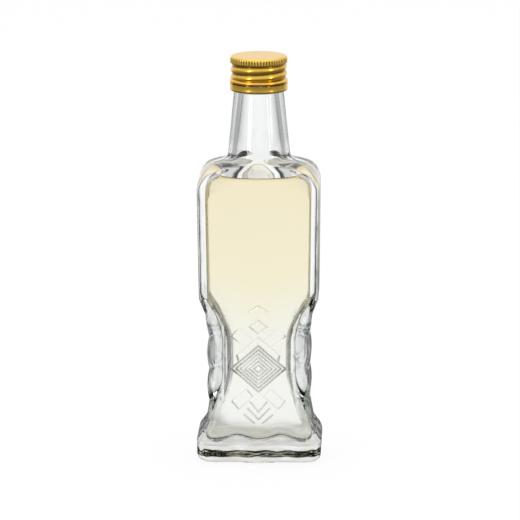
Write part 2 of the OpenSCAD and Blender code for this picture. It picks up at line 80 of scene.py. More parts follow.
class MeshStack:
    """Collects rings of points, joins them with faces and makes one mesh object."""

    def __init__(self) -> None:
        """Starts with no points and no faces."""
        self.points: list[Array] = []
        self.marks: list[Array] = []
        self.thick: list[Array] = []
        self.count = 0
        self.faces: list[tuple[int, ...]] = []
        self.slots: list[int] = []

    def ring(self, points: Array, mark: Any = 0.0, thick: Any = 0.0) -> Array:
        """Adds points with the two shares that their material reads, and returns their indices."""
        self.points.append(np.asarray(points, float))
        self.marks.append(np.broadcast_to(mark, len(points)).astype(float))
        self.thick.append(np.broadcast_to(thick, len(points)).astype(float))
        first = self.count
        self.count += len(points)
        return np.arange(first, self.count)

    def point_of(self, index: int) -> Array:
        """Place of one point."""
        for block in self.points:
            if index < len(block):
                return block[index]
            index -= len(block)
        raise IndexError(index)

    def wall(self, low: Array, high: Array, slot: int = 0) -> None:
        """Joins two closed rings of equal count with four-sided faces.

        Args:
            low: Indices of the first ring.
            high: Indices of the second ring.
            slot: Material slot of the faces.
        """
        m = len(low)
        nxt = np.roll(np.arange(m), -1)
        quads = np.stack([low, low[nxt], high[nxt], high], axis=1)
        self.faces.extend(map(tuple, quads.tolist()))
        self.slots.extend([slot] * m)

    def grow(self, last: Array, points: Array, mark: Any = 0.0, slot: int = 0, under: bool = False) -> Array:
        """Adds a ring and joins it to the last one.

        Args:
            last: Indices of the last ring.
            points: Points of the new ring.
            mark: Share that the material reads at its points.
            slot: Material slot of the faces.
            under: True on an underside, where the faces look the other way.

        Returns:
            Indices of the new ring.
        """
        ring = self.ring(points, mark)
        self.wall(*((ring, last) if under else (last, ring)), slot)
        return ring

    def zipper(self, low: Array, high: Array, low_at: Array, high_at: Array, slot: int = 0) -> None:
        """Joins two closed rings of different counts with triangles.

        Args:
            low: Indices of the first ring.
            high: Indices of the second ring.
            low_at: Place of each point of the first ring along it, from 0 to below 1.
            high_at: The same for the second ring.
            slot: Material slot of the faces.
        """
        i = j = 0
        m, n = len(low), len(high)
        low_at = np.append(low_at, 1.0)
        high_at = np.append(high_at, 1.0)
        while i < m or j < n:
            if j >= n or (i < m and low_at[i + 1] <= high_at[j + 1]):
                self.faces.append((low[i % m], low[(i + 1) % m], high[j % n]))
                i += 1
            else:
                self.faces.append((low[i % m], high[(j + 1) % n], high[j % n]))
                j += 1
            self.slots.append(slot)

    def fan(self, ring: Array, centre: Array, up: bool, slot: int = 0) -> None:
        """Closes a ring with triangles to a centre point.

        Args:
            ring: Indices of the ring.
            centre: Place of the centre point.
            up: True where the faces look the way that follows an upward wall.
            slot: Material slot of the faces.
        """
        tip = int(self.ring(np.array([centre]))[0])
        m = len(ring)
        for i in range(m):
            a, b = int(ring[i]), int(ring[(i + 1) % m])
            self.faces.append((a, b, tip) if up else (b, a, tip))
            self.slots.append(slot)

    def build(self, name: str, materials: list[bpy.types.Material], sharp_deg: float = 40.0) -> bpy.types.Object:
        """Makes the object, in metres, smooth shaded with its sharp edges kept.

        Args:
            name: Name of the object.
            materials: Its material slots.
            sharp_deg: Edges that turn by more than this stay sharp.

        Returns:
            The new mesh object, linked to the scene.
        """
        mesh = bpy.data.meshes.new(name)
        mesh.from_pydata((np.vstack(self.points) * MM).tolist(), [], self.faces)
        for material in materials:
            mesh.materials.append(material)
        mesh.polygons.foreach_set("material_index", self.slots)
        # The mark and thick shares are what the materials turn into painted shade and painted highlight.
        for title, shares in (("mark", self.marks), ("thick", self.thick)):
            mesh.attributes.new(title, "FLOAT", "POINT").data.foreach_set("value", np.concatenate(shares))
        mesh.shade_smooth()
        mesh.set_sharp_from_angle(angle=math.radians(sharp_deg))
        mesh.update()
        return add_object(name, mesh)


def add_object(name: str, data: Any) -> bpy.types.Object:
    """Makes an object of a mesh, lamp or camera and links it to the scene."""
    obj = bpy.data.objects.new(name, data)
    bpy.context.scene.collection.objects.link(obj)
    return obj


def ring_places(points: Array) -> Array:
    """Place of each point along its closed ring, from 0 to below 1."""
    steps = np.linalg.norm(np.roll(points, -1, axis=0) - points, axis=1)
    return np.concatenate([[0.0], np.cumsum(steps)[:-1]]) / steps.sum()


def circle(radius: Any, z: Any, angles: Array) -> Array:
    """Points round the axis, at a radius and height that may vary with the angle.

    Args:
        radius: Radius in millimetres, one value or one for each angle.
        z: Height in millimetres, one value or one for each angle.
        angles: Angles in degrees from +X.

    Returns:
        The points, one row each.
    """
    a = np.radians(angles)
    radius = np.broadcast_to(radius, a.shape)
    return np.stack([radius * np.cos(a), radius * np.sin(a), np.broadcast_to(z, a.shape)], axis=1)


# ---------------------------------------------------------------- shader nodes


class Socket:
    """One value in a node tree, with the usual sums written as Python expressions."""

    def __init__(self, nodes: "NodeKit", output: bpy.types.NodeSocket) -> None:
        """Wraps the output of a node."""
        self.nodes = nodes
        self.output = output

    def _math(self, operation: str, left: Any, right: Any) -> "Socket":
        """One Math node for an operation on two values."""
        return self.nodes.add("ShaderNodeMath", {"operation": operation}, {0: left, 1: right})

    def __add__(self, other: Any) -> "Socket":
        """Sum with a value."""
        return self._math("ADD", self, other)

    __radd__ = __add__

    def __sub__(self, other: Any) -> "Socket":
        """Difference from a value."""
        return self._math("SUBTRACT", self, other)

    def __mul__(self, other: Any) -> "Socket":
        """Product with a value."""
        return self._math("MULTIPLY", self, other)

    __rmul__ = __mul__

    def __truediv__(self, other: Any) -> "Socket":
        """Quotient by a value."""
        return self._math("DIVIDE", self, other)

    def __pow__(self, other: Any) -> "Socket":
        """Power by a value."""
        return self._math("POWER", self, other)


class NodeKit:
    """Adds nodes to one material's or world's tree."""

    def __init__(self, tree: bpy.types.NodeTree) -> None:
        """Empties the tree.

        Args:
            tree: The node tree to fill.
        """
        self.tree = tree
        tree.nodes.clear()

    def node(self, kind: str, settings: dict[str, Any], values: dict[Any, Any]) -> bpy.types.Node:
        """Adds any node.

        Args:
            kind: Blender's name of the node type.
            settings: Its settings, set first. "stops" gives a ramp's places and colours.
            values: Values or links of its inputs, by name or number.

        Returns:
            The new node.
        """
        made = self.tree.nodes.new(kind)
        for key, value in settings.items():
            if key == "stops":
                ramp = made.color_ramp
                while len(ramp.elements) < len(value):
                    ramp.elements.new(1.0)
                for element, (place, colour) in zip(ramp.elements, value):
                    element.position = place
                    element.color = (*colour, 1.0) if len(colour) == 3 else colour
            else:
                setattr(made, key, value)
        for key, value in values.items():
            target = made.inputs[key]
            if isinstance(value, Socket):
                self.tree.links.new(value.output, target)
            elif isinstance(value, bpy.types.NodeSocket):
                self.tree.links.new(value, target)
            elif target.type == "RGBA" and len(value) == 3:
                target.default_value = (*value, 1.0)
            else:
                target.default_value = value
        return made

    def add(self, kind: str, settings: dict[str, Any], values: dict[Any, Any], out: Any = 0) -> Socket:
        """Adds any node and returns one of its outputs.

        Args:
            kind: Blender's name of the node type.
            settings: Its settings.
            values: Values or links of its inputs.
            out: Name or number of the output.

        Returns:
            That output, wrapped.
        """
        return Socket(self, self.node(kind, settings, values).outputs[out])

    def place(self) -> Socket:
        """Position in the object's own frame, which is the frame of the whole model."""
        return self.add("ShaderNodeTexCoord", {}, {}, "Object")

    def axis(self, vector: Socket, name: str) -> Socket:
        """One component, X, Y or Z, of a vector."""
        return self.add("ShaderNodeSeparateXYZ", {}, {0: vector}, name)

    def attribute(self, name: str) -> Socket:
        """Share that the mesh carries at each point under a name."""
        return self.add("ShaderNodeAttribute", {"attribute_name": name}, {}, "Fac")

    def window(self, value: Any, low: float, high: float, **settings: Any) -> Socket:
        """Share of the way from low to high, held at 0 and 1."""
        ends = {0: value, 1: low, 2: high, 3: 0.0, 4: 1.0}
        return self.add("ShaderNodeMapRange", {"clamp": True, **settings}, ends)

    def length(self, x: Socket, y: Socket, least: float = 0.0) -> Socket:
        """Length of a flat vector, with a least value added under the root."""
        square = x * x + y * y
        return self.add("ShaderNodeMath", {"operation": "SQRT"}, {0: square + least if least else square})

    def rays(self, *names: str) -> list[Socket]:
        """1 for each kind of ray that is asked for, 0 for any other."""
        paths = self.node("ShaderNodeLightPath", {}, {})
        return [Socket(self, paths.outputs[f"Is {name} Ray"]) for name in names]

    def noise(self, vector: Any, per_metre: float, detail: float = 2.0) -> Socket:
        """Noise from 0 to 1 with features about one over per_metre wide."""
        return self.add("ShaderNodeTexNoise", {}, {"Vector": vector, "Scale": per_metre, "Detail": detail}, "Fac")

    def stretch(self, vector: Any, scale: tuple[float, float, float]) -> Socket:
        """Position scaled by a factor along each axis."""
        return self.add("ShaderNodeVectorMath", {"operation": "MULTIPLY"}, {0: vector, 1: scale})

    def blend(self, share: Any, low: Any, high: Any) -> Socket:
        """Colour between two colours."""
        made = self.node("ShaderNodeMix", {"data_type": "RGBA", "clamp_factor": True}, {})
        for key, value in ((0, share), (6, low), (7, high)):
            if isinstance(value, Socket):
                self.tree.links.new(value.output, made.inputs[key])
            else:
                made.inputs[key].default_value = (*value, 1.0) if isinstance(value, tuple) else value
        return Socket(self, made.outputs[2])

    def ramp(self, share: Socket, stops: list[tuple[float, RGB]]) -> Socket:
        """Colour from a ramp of stops."""
        return self.add("ShaderNodeValToRGB", {"stops": stops}, {0: share})

    def bump(self, height: Socket, strength: float, distance: float) -> Socket:
        """Normal from a height."""
        return self.add("ShaderNodeBump", {}, {"Height": height, "Strength": strength, "Distance": distance})


def new_material(name: str) -> tuple[bpy.types.Material, NodeKit]:
    """A node material with an empty tree.

    Args:
        name: Name of the material.
    """
    material = bpy.data.materials.new(name)
    material.use_nodes = True
    return material, NodeKit(material.node_tree)


def principled(kit: NodeKit, values: dict[str, Any]) -> None:
    """Adds the surface shader and the output of a material.

    Args:
        kit: The material's node kit.
        values: Values or links of the shader's inputs.
    """
    shader = kit.node("ShaderNodeBsdfPrincipled", {}, values)
    kit.node("ShaderNodeOutputMaterial", {}, {"Surface": shader.outputs[0]})


class WallSide(Enum):
    """Which stretch of the glass a material is for."""

    DRY = "dry"
    WET = "wet"


@dataclass(frozen=True)
class ClearGlass:
    """Clear pressed glass with a faint ripple. Wet glass bends light less, because liquid lies behind it. Its colour
    carries painted shade: at grazing edges, over thick glass and in the relief's grooves.
    """

    side: WallSide
    tint: RGB = (0.985, 0.995, 0.99)
    index: float = 1.5
    liquid_index: float = 1.36
    ripple_per_metre: float = 140.0
    ripple_depth: float = 0.00006
    smear_per_metre: float = 60.0
    smear_dark: float = 0.985
    smear_rough: float = 0.008
    streaks_per_metre: float = 620.0
    streak_window: tuple[float, float] = (0.40, 0.62)
    veins_per_metre: float = 420.0
    vein_window: tuple[float, float] = (0.42, 0.60)
    # Painted shade: the glass darkens towards grazing edges, more at some heights than at others.
    edge_shade_tint: RGB = (0.10, 0.13, 0.12)
    edge_power: float = 1.9
    # Painted shade in the relief's grooves.
    groove_shade_tint: RGB = (0.24, 0.22, 0.16)
    groove_shade_share: float = 0.8
    # Painted shade over thick glass, in facets and crossing lines.
    thick_shade_tint: RGB = (0.10, 0.115, 0.10)
    foot_tint: RGB = (0.60, 0.58, 0.50)
    foot_top: float = 0.0105
    foot_fade: float = 0.003
    foot_vein: tuple[float, float] = (0.15, 0.5)
    deep_grain: tuple[float, float] = (0.22, 0.7)
    tall: float = 0.131
    edge_shade_by_height: tuple[tuple[float, RGB], ...] = (
        (0.05, (0.3, 0.3, 0.3)),
        (0.10, (1.2, 1.2, 1.2)),
        (0.65, (1.4, 1.4, 1.4)),
        (0.69, (0.25, 0.25, 0.25)),
        (0.76, (0.25, 0.25, 0.25)),
        (0.80, (1.8, 1.8, 1.8)),
    )

    def make(self) -> bpy.types.Material:
        """The finished material."""
        material, kit = new_material(f"clear_glass_{self.side.value}")
        place = kit.place()
        ripple = kit.noise(kit.stretch(place, (1.0, 1.0, 0.45)), self.ripple_per_metre, 1.0)
        smear = kit.noise(place, self.smear_per_metre, 3.0)
        index = self.index if self.side is WallSide.DRY else self.index / self.liquid_index
        clear = kit.blend(smear, self.tint, tuple(c * self.smear_dark for c in self.tint))
        edge = kit.add("ShaderNodeLayerWeight", {}, {"Blend": 0.5}, "Facing")
        streaks = kit.noise(kit.stretch(place, (1.0, 1.0, 0.22)), self.streaks_per_metre, 3.0)
        solid_shade = kit.attribute("thick")
        grain = kit.window(streaks, *self.streak_window)
        veins = kit.noise(kit.stretch(place, (0.35, 0.35, 1.6)), self.veins_per_metre, 3.0)
        vein = kit.window(veins, *self.vein_window)
        z = kit.axis(place, "Z")
        foot = kit.window(z, self.foot_top, self.foot_top - self.foot_fade, interpolation_type="SMOOTHSTEP")
        clear = kit.blend(foot * (self.foot_vein[0] + self.foot_vein[1] * vein), clear, self.foot_tint)
        # Painted shade over thick glass, streaked by a grain.
        thick_shaded = kit.blend(solid_shade * (self.deep_grain[0] + self.deep_grain[1] * grain), clear, self.thick_shade_tint)
        # Painted shade at grazing edges, graded by height.
        edge_shade_share = kit.ramp(z / self.tall, list(self.edge_shade_by_height))
        shade = kit.blend(edge ** self.edge_power * edge_shade_share, thick_shaded, self.edge_shade_tint)
        # Painted shade in the relief's grooves, by the depth share in the mark.
        line = kit.attribute("mark")
        principled(kit, {
            "Base Color": kit.blend(line ** 1.5 * self.groove_shade_share, shade, self.groove_shade_tint),
            "Roughness": smear * self.smear_rough,
            "Transmission Weight": 1.0,
            "IOR": index,
            "Normal": kit.bump(ripple, 0.5, self.ripple_depth),
        })
        return material


class LiquidFace(Enum):
    """Which face of the liquid a material is for."""

    SIDE = "side"
    TOP = "top"


@dataclass(frozen=True)
class PaleSpirit:
    """Pale yellow spirit. Its colour thins towards the narrow waist and the thick glass of the foot."""

    face: LiquidFace
    index: float = 1.36
    low_z: float = 0.006
    level_z: float = 0.0929
    aside: float = 4.0
    aside_window: tuple[float, float] = (0.75, 0.55)
    top_tint: RGB = (0.90, 0.92, 0.99)
    # Painted shade of the meniscus on the top's rim.
    rim_shade_tint: RGB = (0.80, 0.70, 0.46)
    stops: tuple[tuple[float, RGB], ...] = (
        (0.0, (0.97, 0.965, 0.93)),
        (0.22, (0.98, 0.97, 0.93)),
        (0.36, (0.98, 0.96, 0.90)),
        (0.48, (0.975, 0.93, 0.78)),
        (0.58, (0.975, 0.905, 0.70)),
        (0.8, (0.975, 0.885, 0.665)),
        # The last stops paint the shade of the meniscus at the level.
        (0.990, (0.965, 0.865, 0.635)),
        (0.996, (0.74, 0.57, 0.27)),
        (1.0, (0.66, 0.48, 0.19)),
    )

    def colour(self, kit: NodeKit) -> Socket:
        """Tint by height and distance from the middle on the sides, with a painted shade at the level, and a painted
        shade on the top's rim.
        """
        if self.face is LiquidFace.TOP:
            return kit.blend(kit.attribute("mark"), self.top_tint, self.rim_shade_tint)
        place = kit.place()
        z = kit.axis(place, "Z")
        height = (z - self.low_z) / (self.level_z - self.low_z)
        aside = kit.add("ShaderNodeMath", {"operation": "ABSOLUTE"}, {0: kit.axis(place, "X")})
        low = kit.window(height, *self.aside_window)
        return kit.ramp(height - aside * low * self.aside, list(self.stops))

    def make(self) -> bpy.types.Material:
        """The finished material."""
        material, kit = new_material(f"pale_spirit_{self.face.value}")
        principled(kit, {
            "Base Color": self.colour(kit),
            "Roughness": 0.0,
            "Transmission Weight": 1.0,
            "IOR": 1.0 if self.face is LiquidFace.SIDE else self.index,
        })
        return material


@dataclass(frozen=True)
class GoldAluminium:
    """Gold anodised aluminium sheet with fine drawing marks and a little wear.

    The mark is above 0 in valleys, which get a painted shade, and below 0 on crests, which get a painted highlight.
    """

    name: str
    colour: RGB = (0.83, 0.50, 0.06)
    worn: RGB = (0.88, 0.60, 0.16)
    # Painted shade for the valleys and painted highlight for the crests.
    valley_painted_shade: RGB = (0.16, 0.07, 0.004)
    crest: RGB = (0.98, 0.74, 0.18)
    gloss: float = 0.20
    cloud_per_metre: float = 320.0
    marks_per_metre: tuple[float, float, float] = (260.0, 260.0, 5200.0)
    fine_per_metre: float = 5200.0

    def make(self) -> bpy.types.Material:
        """The finished material."""
        material, kit = new_material(self.name)
        place = kit.place()
        cloud = kit.noise(place, self.cloud_per_metre, 3.0)
        marks = kit.noise(kit.stretch(place, self.marks_per_metre), 1.0, 2.0)
        fine = kit.noise(place, self.fine_per_metre, 2.0)
        valley_painted_shade = kit.attribute("mark")
        # Painted highlight on the crests, painted shade in the valleys.
        bright = kit.add("ShaderNodeMath", {"operation": "MAXIMUM"}, {0: valley_painted_shade * -2.0, 1: 0.0})
        open_metal = kit.blend(bright, kit.blend(cloud ** 2.0, self.colour, self.worn), self.crest)
        principled(kit, {
            "Base Color": kit.blend(valley_painted_shade, open_metal, self.valley_painted_shade),
            "Roughness": cloud * 0.10 + marks * 0.08 + (self.gloss - 0.08),
            "Metallic": 1.0,
            "Normal": kit.bump(marks * 0.7 + fine * 0.3, 0.35, 0.00002),
        })
        return material


@dataclass(frozen=True)
class FoamDisc:
    """White foamed sheet of the sealing disc, with its fine closed cells."""

    colour: RGB = (0.86, 0.85, 0.81)
    shaded: float = 0.93
    cells_per_metre: float = 3800.0
    cloud_per_metre: float = 500.0

    def make(self) -> bpy.types.Material:
        """The finished material."""
        material, kit = new_material("foam_disc")
        place = kit.place()
        cells = kit.add("ShaderNodeTexVoronoi", {}, {"Vector": place, "Scale": self.cells_per_metre}, "Distance")
        cloud = kit.noise(place, self.cloud_per_metre)
        principled(kit, {
            "Base Color": kit.blend(cloud, self.colour, tuple(c * self.shaded for c in self.colour)),
            "Roughness": 0.55 + cloud * 0.2,
            "Normal": kit.bump(cells, 0.4, 0.00004),
        })
        return material


# ---------------------------------------------------------------- the glass body


@dataclass
class FlaskForm:
    """Shape of the glass body and its cavity, in millimetres, as the construction has it."""

    base_w: float = 40.0
    waist_w: float = 31.9
    chest_w: float = 38.0
    shoulder_w: float = 39.0
    body_d: float = 23.6
    plinth_h: float = 7.4
    flare_h: float = 12.4
    kick_h: float = 6.0
    kick_share: float = 0.27
    groove_pitch: float = 10.4
    groove_count: int = 3
    top_lobe_h: float = 7.8
    bevel_h: float = 5.3
    panel_h: float = 35.4
    heel_r: float = 3.4
    plinth_corner_r: float = 3.0
    chest_corner_r: float = 1.9
    panel_w: float = 22.0
    facet_d: float = 6.0
    panel_widen_h: float = 11.0
    groove_rise: float = 3.3
    lobe_out: float = 0.65
    top_swell: float = 1.0
    shoulder_r: float = 8.0
    shoulder_slope: float = 15.0
    square_up: float = 5.0
    neck_blend_r: float = 3.0
    neck_foot_d: float = 19.7
    neck_top_d: float = 15.8
    neck_h: float = 22.0
    side_wall: float = 2.6
    face_wall: float = 2.3
    floor_t: float = 6.2
    cavity_corner_r: float = 1.0
    core_w: float = 20.6
    core_d: float = 17.2
    core_corner_r: float = 3.0
    core_foot_w: float = 33.6
    vault_r: float = 3.4
    arch_below: float = 3.0
    arch_above: float = 5.0
    floor_r: float = 3.6
    bore_d: float = 10.6
    pushup_h: float = 0.9
    recess_d: float = 16.8
    ridge_share: float = 0.9
    ridge_x: float = 0.70
    ridge_y: float = 0.52
    ridge_swing: tuple[float, float] = (0.10, 0.12)
    core_lead: float = 2.0
    core_trail: float = 1.0
    # groove_line to most_thick_shade lay out the painted shade over thick glass; they don't change the shape.
    groove_line: float = 0.4
    groove_clear: float = 0.85
    cross_share: float = 0.7
    cross_width: float = 0.06
    bevel_share: float = 1.1
    side_share: float = 0.4
    most_thick_shade: float = 1.5
    round_n: float = 2.0
    facet_n: float = 1.3
    fill_up: float = 3.1
    swell_h: float = 2.2
    swell_x: float = 7.0
    swell_w: float = 4.5

    def __post_init__(self) -> None:
        """Works out the heights of the body."""
        slope = math.radians(self.shoulder_slope)
        self.flare_z = self.plinth_h + self.flare_h
        self.kick_z = self.plinth_h + self.kick_h
        self.top_groove_z = self.flare_z + (self.groove_count - 1) * self.groove_pitch
        self.bevel_z = self.top_groove_z + self.top_lobe_h
        self.chest_z = self.bevel_z + self.bevel_h
        self.shoulder_z = self.chest_z + self.panel_h
        self.shoulder_top_z = self.shoulder_z + self.shoulder_r * math.cos(slope)
        self.shoulder_top_x = self.shoulder_w / 2 - self.shoulder_r * (1 - math.sin(slope))
        self.neck_z = self.shoulder_top_z + (self.shoulder_top_x - self.neck_foot_d / 2) * math.tan(slope)
        self.blend_top_z = self.neck_z + self.neck_blend_r * (1 - math.sin(slope)) / math.cos(slope)
        self.blend_z = self.blend_top_z - self.neck_blend_r * math.cos(slope)
        self.cap_z = self.neck_z + self.neck_h
        self.panel_widen_z = self.bevel_z - self.groove_rise
        self.cavity_top_r = self.neck_foot_d / 2 - self.face_wall
        self.vault_z = self.shoulder_z + self.vault_r * math.cos(slope)
        self.vault_w = self.shoulder_w / 2 - self.side_wall - self.vault_r * (1 - math.sin(slope))
        self.cavity_top_z = self.blend_top_z - self.neck_blend_r / 2
        self.fill_z = self.shoulder_z + self.fill_up
        self.swell_top_z = self.flare_z

    def rise(self, z: float) -> float:
        """How far a level is raised where it meets the front panel."""
        start = self.groove_rise * smooth(span(z, self.plinth_h, self.flare_z))
        return float(mix(start, 0.0, span(z, self.bevel_z, self.chest_z)))

    def lobe(self, z: float) -> float:
        """Bulge between two grooves, 0 in a groove and 1 halfway."""
        if z <= self.flare_z or z >= self.top_groove_z:
            return 0.0
        f = (z - self.flare_z) / self.groove_pitch
        f -= math.floor(f)
        return 4 * f * (1 - f)

    def edge_gap(self, up: float, radius: float) -> float:
        """How much of a rounded edge's radius is still missing at a height above its start."""
        if up >= radius:
            return 0.0
        up = max(0.0, up)
        return radius - math.sqrt(max(0.0, radius * radius - (radius - up) ** 2))

    def shoulder_in(self, z: float) -> float:
        """How far the shoulder has drawn in at a level, seen from the front."""
        r = self.shoulder_r
        if z <= self.shoulder_z:
            return 0.0
        if z < self.shoulder_top_z:
            return r - math.sqrt(r * r - (z - self.shoulder_z) ** 2)
        if z < self.blend_z:
            fall = math.tan(math.radians(self.shoulder_slope))
            return self.shoulder_w / 2 - self.shoulder_top_x + (z - self.shoulder_top_z) / fall
        b = self.neck_blend_r
        left = math.sqrt(max(0.0, b * b - (self.blend_top_z - z) ** 2))
        return (self.shoulder_w - self.neck_foot_d) / 2 - b + left

    def flared(self, z: float) -> float:
        """Share of the plinth's extra width that is there at a level below the waist."""
        foot = (1 - self.kick_share) * (1 - smooth(span(z, self.plinth_h, self.kick_z)))
        return float(foot + mix(self.kick_share, 0.0, span(z, self.kick_z, self.flare_z)))

    def half_w(self, z: float) -> float:
        """Half width of the outside, without heel and shoulder."""
        waist = self.waist_w / 2
        if z <= self.flare_z:
            return waist + (self.base_w - self.waist_w) / 2 * self.flared(z)
        if z <= self.top_groove_z:
            return waist + self.lobe_out * self.lobe(z)
        swell = self.top_swell
        if z <= self.bevel_z:
            return waist + swell * math.sin(math.pi / 2 * span(z, self.top_groove_z, self.bevel_z))
        if z <= self.chest_z:
            return float(mix(waist + swell, self.chest_w / 2, span(z, self.bevel_z, self.chest_z)))
        return float(mix(self.chest_w / 2, self.shoulder_w / 2, span(z, self.chest_z, self.shoulder_z)))

    def waisted(self, z: float) -> float:
        """0 on the plinth and the upper body, 1 at the waist."""
        start = smooth(span(z, self.plinth_h / 2, self.flare_z + self.groove_rise))
        end = self.panel_widen_z + self.panel_widen_h
        return float(mix(start, 0.0, span(z, self.panel_widen_z, end)))

    def panel_half_w(self, z: float) -> float:
        """Half width of the flat front panel."""
        low = z < self.flare_z
        corner = self.plinth_corner_r if low else self.chest_corner_r
        plain = self.base_w / 2 if low else self.half_w(max(z, self.chest_z))
        return float(mix(plain - corner, self.panel_w / 2, self.waisted(z)))

    def narrowed(self, z: float) -> float:
        """1 where the cavity is at its narrowest, 0 in the upper body and halfway down the foot."""
        low = smooth(span(z, self.floor_t, self.flare_z + self.groove_pitch))
        high = smooth(span(z, self.top_groove_z - self.core_lead, self.chest_z + self.core_trail))
        return float(min(low, 1 - high))

    def core_half_w(self, z: float) -> float:
        """Half width of the cavity below the shoulder, without the rounding of its floor."""
        core = self.core_w / 2
        if z < self.flare_z + self.groove_pitch:
            return float(mix(self.core_foot_w / 2, core, self.narrowed(z)))
        return float(mix(self.half_w(min(z, self.shoulder_z)) - self.side_wall, core, self.narrowed(z)))

    def vaulted(self, plain: float, z: float) -> float:
        """Half width of the cavity, drawn in under the shoulder."""
        if z <= self.shoulder_z:
            return plain
        if z < self.vault_z:
            return plain - self.vault_r + math.sqrt(self.vault_r ** 2 - (z - self.shoulder_z) ** 2)
        rest = min(1.0, span(z, self.vault_z, self.cavity_top_z))
        return float(self.cavity_top_r + (self.vault_w - self.cavity_top_r) * (1 - math.sin(math.pi / 2 * rest)))

    def corner(self, a: float, w: float, d: float, c: float, n: float, t: Array) -> tuple[Array, Array]:
        """Rounded quarter corner from (a, -d) on the front to (w, -(d - c)) on the side.

        Args:
            a: Half width of the flat front.
            w: Half width of the section.
            d: Half depth of the section.
            c: How far the corner reaches back.
            n: Exponent of the curve, 2 for a round one.
            t: Shares of the way round the corner.

        Returns:
            Places across and front to back.
        """
        angle = np.pi / 2 * t
        x = a + (w - a) * np.sin(angle) ** (2 / n)
        y = -(d - c) - c * np.clip(np.cos(angle), 0.0, 1.0) ** (2 / n)
        return x, y

    def outer_quarter(self, z: float, steps: tuple[int, int, int]) -> Array:
        """Outer quarter section from the middle of the front to the middle of the side.

        Args:
            z: Level in millimetres.
            steps: Steps across half the panel, the corner and half the side.

        Returns:
            Points, with the last one in the middle of the side.
        """
        up = z + self.rise(z)
        heel = self.edge_gap(z, self.heel_r)
        dome = float(smooth(span(z, self.shoulder_z, self.blend_top_z)))
        turned = float(smooth(span(z, self.shoulder_z + self.square_up, self.blend_top_z)))
        inward = self.shoulder_in(z)
        w = self.half_w(min(z, self.shoulder_z)) - heel - inward
        d = self.body_d / 2 - heel - (self.body_d - self.neck_foot_d) / 2 * dome ** 2
        waist = self.waisted(up)
        plain_c = self.plinth_corner_r if z < self.flare_z else self.chest_corner_r
        c = float(mix(mix(plain_c, self.facet_d, waist), d, turned))
        a = max(0.0, float(mix(self.panel_half_w(min(up, self.shoulder_z)) - heel - inward, 0.0, turned)))
        n = float(mix(self.round_n, self.facet_n, waist))
        bulge = self.lobe(z) * self.lobe_out
        return self._quarter(a, w, d, c, n, z, self.rise(z), bulge, steps, waist * self.ridge_share)

    def cavity_quarter(self, z: float, gap: float, steps: tuple[int, int, int]) -> Array:
        """Inner quarter section, drawn in by a gap, laid out as the outer one.

        Args:
            z: Level in millimetres.
            gap: How far the section is drawn in.
            steps: Steps across half the panel, the corner and half the side.

        Returns:
            Points, with the last one in the middle of the side.
        """
        foot = self.edge_gap(z - self.floor_t, self.floor_r)
        dome = float(smooth(span(z, self.shoulder_z, self.cavity_top_z)))
        narrow = self.narrowed(z)
        w0 = self.core_half_w(z) - foot
        w = self.vaulted(w0, z) - gap
        d0 = mix(self.body_d / 2 - self.face_wall, self.core_d / 2, narrow) - foot
        d = float(mix(d0, self.cavity_top_r, dome)) - gap
        arch = float(smooth(span(z, self.shoulder_z - self.arch_below, self.shoulder_z + self.arch_above)))
        c = float(mix(mix(self.cavity_corner_r, self.core_corner_r, narrow), d, arch))
        a = max(0.0, float(mix(w - c, 0.0, arch)))
        n = self.round_n
        return self._quarter(a, w, d, c, n, z, 0.0, 0.0, steps)

    def settle(self, points: Array) -> Array:
        """Raises the cavity's floor in two soft swells, as the glass settled there."""
        lift = self.swell_h * (1 - smooth(span(points[:, 2], self.floor_t, self.swell_top_z)))
        beside = (np.abs(points[:, 0]) - self.swell_x) / self.swell_w
        points[:, 2] += lift * np.exp(-beside ** 2)
        return points

    def thickness(self, z: float, steps: tuple[int, int, int]) -> Array:
        """Share of painted shade at each point of an outer quarter, laid where the glass is thick, 0 where the cavity
        is near.

        Args:
            z: Level in millimetres.
            steps: Steps across half the panel, the corner and half the side.

        Returns:
            One share for each point of the quarter.
        """
        panel_n, corner_n, side_n = steps
        t = np.linspace(0.0, 1.0, corner_n, endpoint=False)
        solid_shade = self.waisted(z + self.rise(z))
        turn = (z - self.flare_z) / self.groove_pitch
        if self.flare_z - 1 < z < self.top_groove_z + 1:
            away = abs(turn - round(turn)) * self.groove_pitch
            solid_shade *= 1 - self.groove_clear * math.exp(-(away / self.groove_line) ** 2)
        starts = smooth(span(z, self.plinth_h + 2, self.plinth_h + 6))
        low = float(starts) * float(smooth(span(z, self.flare_z, self.flare_z - 1)))
        outer = 0.45 + 1.15 * smooth((t - 0.42) / 0.16)
        corner = (solid_shade + low) * outer * smooth(t / 0.3) * (1 - 0.3 * smooth((t - 0.85) / 0.15))
        # Painted dark lines that cross the corner diagonally.
        for way in (1.0, -1.0):
            off = (0.8 * t + way * turn + 0.25) % 1.0 - 0.5
            corner = corner + self.cross_share * solid_shade * np.exp(-(off / self.cross_width) ** 2)
        ends = smooth(span(z, self.shoulder_z - 2, self.shoulder_z + 4))
        upper = smooth(span(z, self.bevel_z, self.chest_z + 3)) * (1 - ends)
        corner = np.minimum(corner + self.bevel_share * upper * np.sin(np.pi * t) ** 2, self.most_thick_shade)
        return np.concatenate([np.zeros(panel_n), corner, np.full(side_n + 1, self.side_share * solid_shade)])

